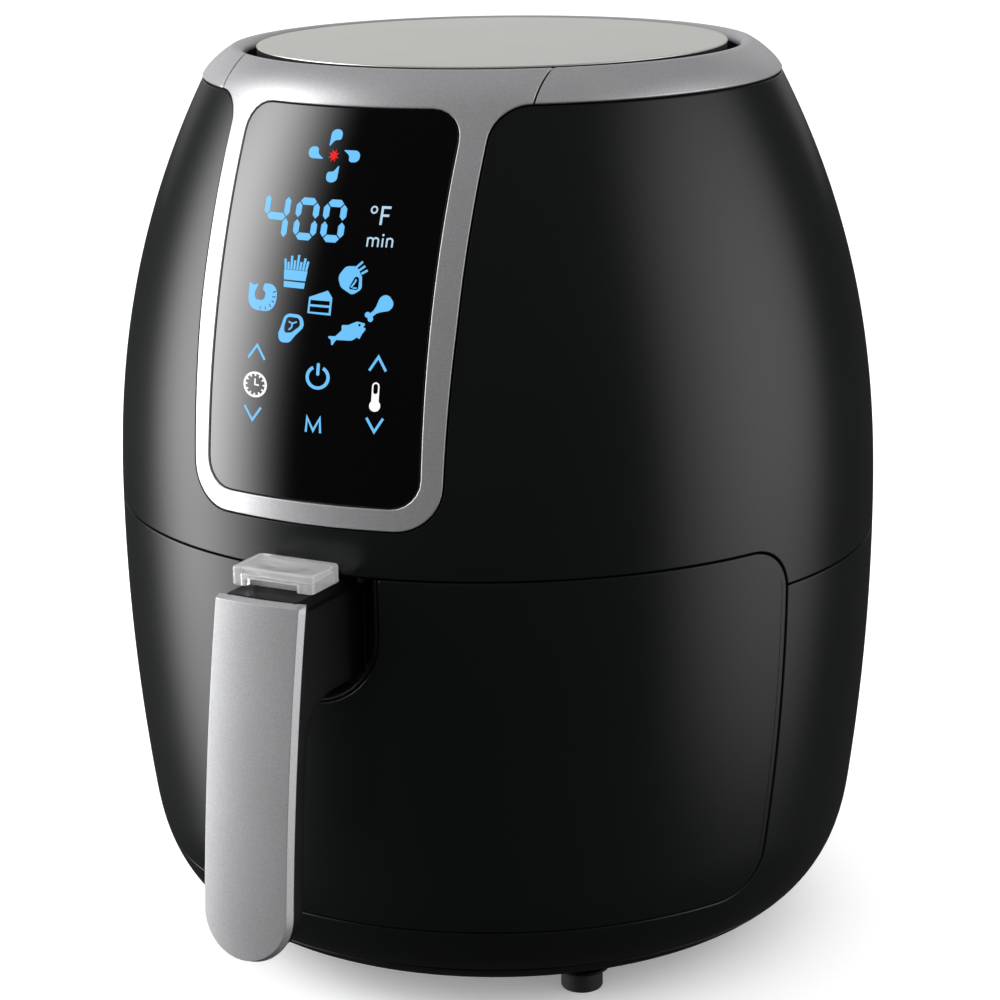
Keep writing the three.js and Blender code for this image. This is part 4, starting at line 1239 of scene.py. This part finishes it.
def add_button_and_guard():
    low, high = span("release_button")
    cap = extrusion(box_loop(low.x, high.x, low.y, high.y, 1.6), 139.7, high.z, "z", 0.7, 3.0)
    corners = ((-143.5, 139.9), (-143.5, 136), (-139.2, 131.7), (-138.4, 131.7), (-138.4, 139.9))
    foot = extrusion(anticlockwise(points_of(*corners)), -2.8, 2.8, "x", 0.15)
    piece("release_button_cap", [cap, foot], "black_plastic", "button", "release_button")

    for side in ("left", "right"):
        node = f"button_spring_{side}"
        low, high = span(node)
        item = piece(f"{node}_coil", [coil(low, high, 0.35, 4.5)], "bright_steel", "drawer", node)
        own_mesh(item)

    low, high = span("button_guard")
    front, rear = low.y, low.y + 17.5
    bottom = high.z - 6
    middle = (front + rear) / 2

    def top_height(x, y):
        across, along = x / 11, (y - middle) / 7
        return -1.1 * max(1 - across**2 - along**2, 0) ** 1.5

    def dished(x, y, depth):
        share = 1 - clamp(depth / (high.z - bottom))
        point = Vector((x, y, high.z - depth + top_height(x, y) * share))
        slope_x, slope_y = slopes(top_height, x, y)
        return point, Vector((-slope_x, -slope_y, 1)).normalized()

    plate = patch(dished, [dense(box_loop(low.x, high.x, front, rear, 1.8), 2)], 6, 0.8, 0.35, grid=1.5)
    item = piece("button_guard_cover", [plate], "clear_plastic", "guard", "button_guard")
    arch = extrusion(box_loop(-9.5, 9.5, front - 2, front + 2.5), bottom - 2, bottom + 2.6, "z", 0.1)
    room = box_loop(-12.6, 12.6, front + 2.6, rear - 1.5, 1)
    hollow = extrusion(room, bottom - 2, high.z - 2.6, "z", 0.4)
    carve(item, [arch, hollow])
    hook = stroke(arc(-1, middle - 1.5, 2.6, 10, -110, 12), 0.3)
    raised = patch(lambda x, y, depth: dished(x, y, depth - 0.12), [hook], 0.3, 0.05, grid=2)
    piece("button_guard_mark", [raised], "clear_plastic", "guard")


# ---- Pan and basket ----
def add_pan_and_basket():
    low, high = span("pan")
    centre = (0, (low.y + high.y) / 2)
    rim, floor, top = high.x, low.z, high.z
    wall = rim - 1.2
    section = rounded([
        (0, floor + 0.8, 0), (60, floor + 0.8, 2), (61.5, floor, 1), (wall - 4.5, floor, 7),
        (wall, top - 2.4, 0.8), (rim, top - 2.4, 0.8), (rim, top, 1.0), (wall - 1.5, top, 0.7),
        (wall - 6, floor + 1.5, 5.6), (61, floor + 1.5, 2), (59.5, floor + 2.3, 2), (0, floor + 2.3, 0)], 6)
    piece("pan_bowl", [lathe(section, 144, centre)], "non_stick", "drawer", "pan")

    low, high = span("basket")
    rim, top = high.x, high.z
    wall = rim - 0.8
    floor = low.z + 8
    floor_radius = wall - 11
    section = rounded([
        (floor_radius, floor, 0), (wall - 4.5, floor, 8), (wall, top - 2, 0.6), (rim, top - 2, 0.5),
        (rim, top, 0.8), (wall - 1.2, top, 0.5), (wall - 5.7, floor + 1.2, 7),
        (floor_radius, floor + 1.2, 0)], 6)
    holes = []
    pitch = 10.5
    for row in range(-9, 10):
        for column in range(-9, 10):
            x = (column + row % 2 / 2) * pitch
            y = row * pitch * math.sin(math.pi / 3)
            if math.hypot(x, y) < floor_radius - 6:
                holes.append(hole(circle(x, centre[1] + y, 3.0, 14)))
    outline = circle(0, centre[1], floor_radius, 144)
    grate = patch(plane(Vector((0, 0, floor + 1.2)), X, Y), [outline, *holes], 1.2, 0.25, grid=9.0)
    knob = rounded([(0, low.z, 0), (3.2, low.z, 1.2), (3.2, floor + 0.2, 0), (0, floor + 0.2, 0)], 5)
    feet = [lathe(knob, 28, (x, centre[1] + y)) for x, y in ((-37, 24), (0, -48), (37, 24))]
    piece("basket_bowl", [lathe(section, 144, centre), bare(grate), *feet], "non_stick", "drawer", "basket")


# ---- CAD nodes that stay ----
def smoothing_group():
    """Geometry nodes that weld a node's facets and shade its curved walls smooth."""
    tree = bpy.data.node_groups.new("smooth_by_angle", "GeometryNodeTree")
    for in_out in ("INPUT", "OUTPUT"):
        tree.interface.new_socket("Geometry", in_out=in_out, socket_type="NodeSocketGeometry")
    start = add_node(tree, "NodeGroupInput", "Geometry")
    end = tree.nodes.new("NodeGroupOutput")
    clear = add_node(tree, "GeometryNodeRemoveAttribute", Geometry=start, Name="custom_normal")
    weld = add_node(tree, "GeometryNodeMergeByDistance", Geometry=clear, Distance=1e-6)
    smooth = add_node(tree, "GeometryNodeSetShadeSmooth", Geometry=weld)
    crease = add_node(tree, "GeometryNodeSetShadeSmooth", Geometry=smooth)
    crease.node.domain = "EDGE"
    bend = add_node(tree, "GeometryNodeInputMeshEdgeAngle", "Unsigned Angle")
    gentle = add_node(tree, "FunctionNodeCompare", A=bend, B=CAD_CREASE)
    gentle.node.operation = "LESS_THAN"
    tree.links.new(gentle, crease.node.inputs["Shade Smooth"])
    tree.links.new(crease, end.inputs["Geometry"])
    return tree


def dress_cad_nodes():
    """Smooth shading and a finish for each CAD node that no piece stands for."""
    smoothing = smoothing_group()
    slots = {part["node"]: part["material_slot"] for part in frame["record"]["subparts"]}
    for name, node in frame["nodes"].items():
        if not node.hide_render:
            paint(node, FINISHES[slots[name]])
            node.modifiers.new("smoothing", "NODES").node_group = smoothing


# ---- Floor, light and camera ----
CAMERA_TURN = math.radians(27.78)
CAMERA_DISTANCE = 984.2
CAMERA_HEIGHT = 409.7
CAMERA_PITCH = math.radians(15.157)
CAMERA_ROLL = math.radians(-0.842)


def add_camera():
    camera = add_object("camera", bpy.data.cameras.new("camera"))
    camera.data.sensor_width = 36
    camera.data.lens = 101.63
    camera.data.shift_x = 0.0013
    camera.data.shift_y = 0.0005
    camera.data.clip_end = 60
    sin, cos = math.sin(CAMERA_TURN), math.cos(CAMERA_TURN)
    ahead = Vector((-sin, cos, 0))
    side = Vector((cos, sin, 0))
    up = ahead * math.sin(CAMERA_PITCH) + Z * math.cos(CAMERA_PITCH)
    forward = ahead * math.cos(CAMERA_PITCH) - Z * math.sin(CAMERA_PITCH)
    right = side * math.cos(CAMERA_ROLL) + up * math.sin(CAMERA_ROLL)
    above = up * math.cos(CAMERA_ROLL) - side * math.sin(CAMERA_ROLL)
    spot = ORIGIN + (Vector((0, 0, CAMERA_HEIGHT)) - ahead * CAMERA_DISTANCE) * MM
    turn = Matrix((right, above, -forward)).transposed().to_4x4()
    camera.matrix_world = Matrix.Translation(spot) @ turn
    bpy.context.scene.camera = camera


def fade(tree, value, power):
    """A value from 0 to 1 turned into a soft bump: 0 at both ends and 1 in the middle."""
    flipped = maths(tree, "SUBTRACT", 1, value)
    product = maths(tree, "MULTIPLY", value, flipped)
    return maths(tree, "POWER", maths(tree, "MULTIPLY", product, 4), power)


def add_light(name, turn, rise, distance, half_width, half_height, brightness, powers):
    """A softbox at an angle from the camera's direction, facing the body, its half sizes in
    degrees as the body sees it. brightness is its radiance in the middle; it fades to its edges."""
    light = bpy.data.lights.new(name, "AREA")
    light.shape = "RECTANGLE"
    light.size = 2 * distance * math.tan(math.radians(half_width))
    light.size_y = 2 * distance * math.tan(math.radians(half_height))
    light.energy = brightness * math.pi * light.size * light.size_y
    light.use_nodes = True
    tree = light.node_tree
    place = add_node(tree, "ShaderNodeNewGeometry", "Parametric")
    split = add_node(tree, "ShaderNodeSeparateXYZ", Vector=place).node
    bumps = [fade(tree, split.outputs[axis], power) for axis, power in zip("XY", powers)]
    tree.links.new(maths(tree, "MULTIPLY", *bumps), tree.nodes["Emission"].inputs["Strength"])
    item = add_object(name, light)
    item.visible_camera = False
    angle = CAMERA_TURN + math.radians(turn)
    level_way = Vector((math.sin(angle), -math.cos(angle), 0))
    way = level_way * math.cos(math.radians(rise)) + Z * math.sin(math.radians(rise))
    target = ORIGIN + Vector((0, 0, 150 * MM))
    item.location = target + way * distance
    item.rotation_mode = "QUATERNION"
    item.rotation_quaternion = (-way).to_track_quat("-Z", "Y")


def add_world():
    """White behind the object, a dim studio in its reflections and soft light from above."""
    world = bpy.data.worlds.new("studio")
    bpy.context.scene.world = world
    world.use_nodes = True
    tree = world.node_tree
    path = tree.nodes.new("ShaderNodeLightPath")
    place = add_node(tree, "ShaderNodeTexCoord", "Generated")
    height = add_node(tree, "ShaderNodeSeparateXYZ", "Z", Vector=place)
    strength = add_node(tree, "ShaderNodeMapRange", Value=height, From_Min=-0.2, From_Max=0.4,
                        To_Min=0.05, To_Max=1.05)
    for ray, seen in (("Is Glossy Ray", 0.03), ("Is Transmission Ray", 1.0), ("Is Camera Ray", 1.0)):
        strength = add_node(tree, "ShaderNodeMix", Factor=path.outputs[ray], A=strength, B=seen)
    tree.links.new(strength, tree.nodes["Background"].inputs["Strength"])
    tree.nodes["Background"].inputs["Color"].default_value = (1, 1, 1, 1)


def add_stage():
    reach = 12
    mesh = bpy.data.meshes.new("floor")
    corners = [(-reach, -reach, 0), (reach, -reach, 0), (reach, reach, 0), (-reach, reach, 0)]
    mesh.from_pydata(corners, [], [(0, 1, 2, 3)])
    floor = add_object("floor", mesh)
    floor.location.z = cad_low.z
    paper = finish("floor_paper", (0.98, 0.98, 0.98), 0.9, grain=300, tint=0.01, relief=0,
                   Emission_Color=(1, 1, 1, 1), Emission_Strength=0.22)
    paint(floor, paper)
    floor.visible_glossy = floor.visible_diffuse = floor.visible_shadow = False
    add_light("right_softbox", 78, 8, 1.3, 36, 42, 2.1, (1.5, 1.3))
    add_light("left_softbox", -93, 9, 1.3, 38, 44, 7.4, (4.2, 1.0))
    add_light("back_softbox", 180, 20, 1.6, 38, 18, 0.48, (0.5, 0.5))
    add_world()
    bpy.context.scene.view_settings.view_transform = "Standard"


add_housing()
add_base()
add_rear()
add_top()
add_legends()
add_drawer_front()
add_inner_panel()
add_pocket()
add_handle()
add_button_and_guard()
add_pan_and_basket()
dress_cad_nodes()
add_stage()
add_camera()

bpy.context.view_layer.update()
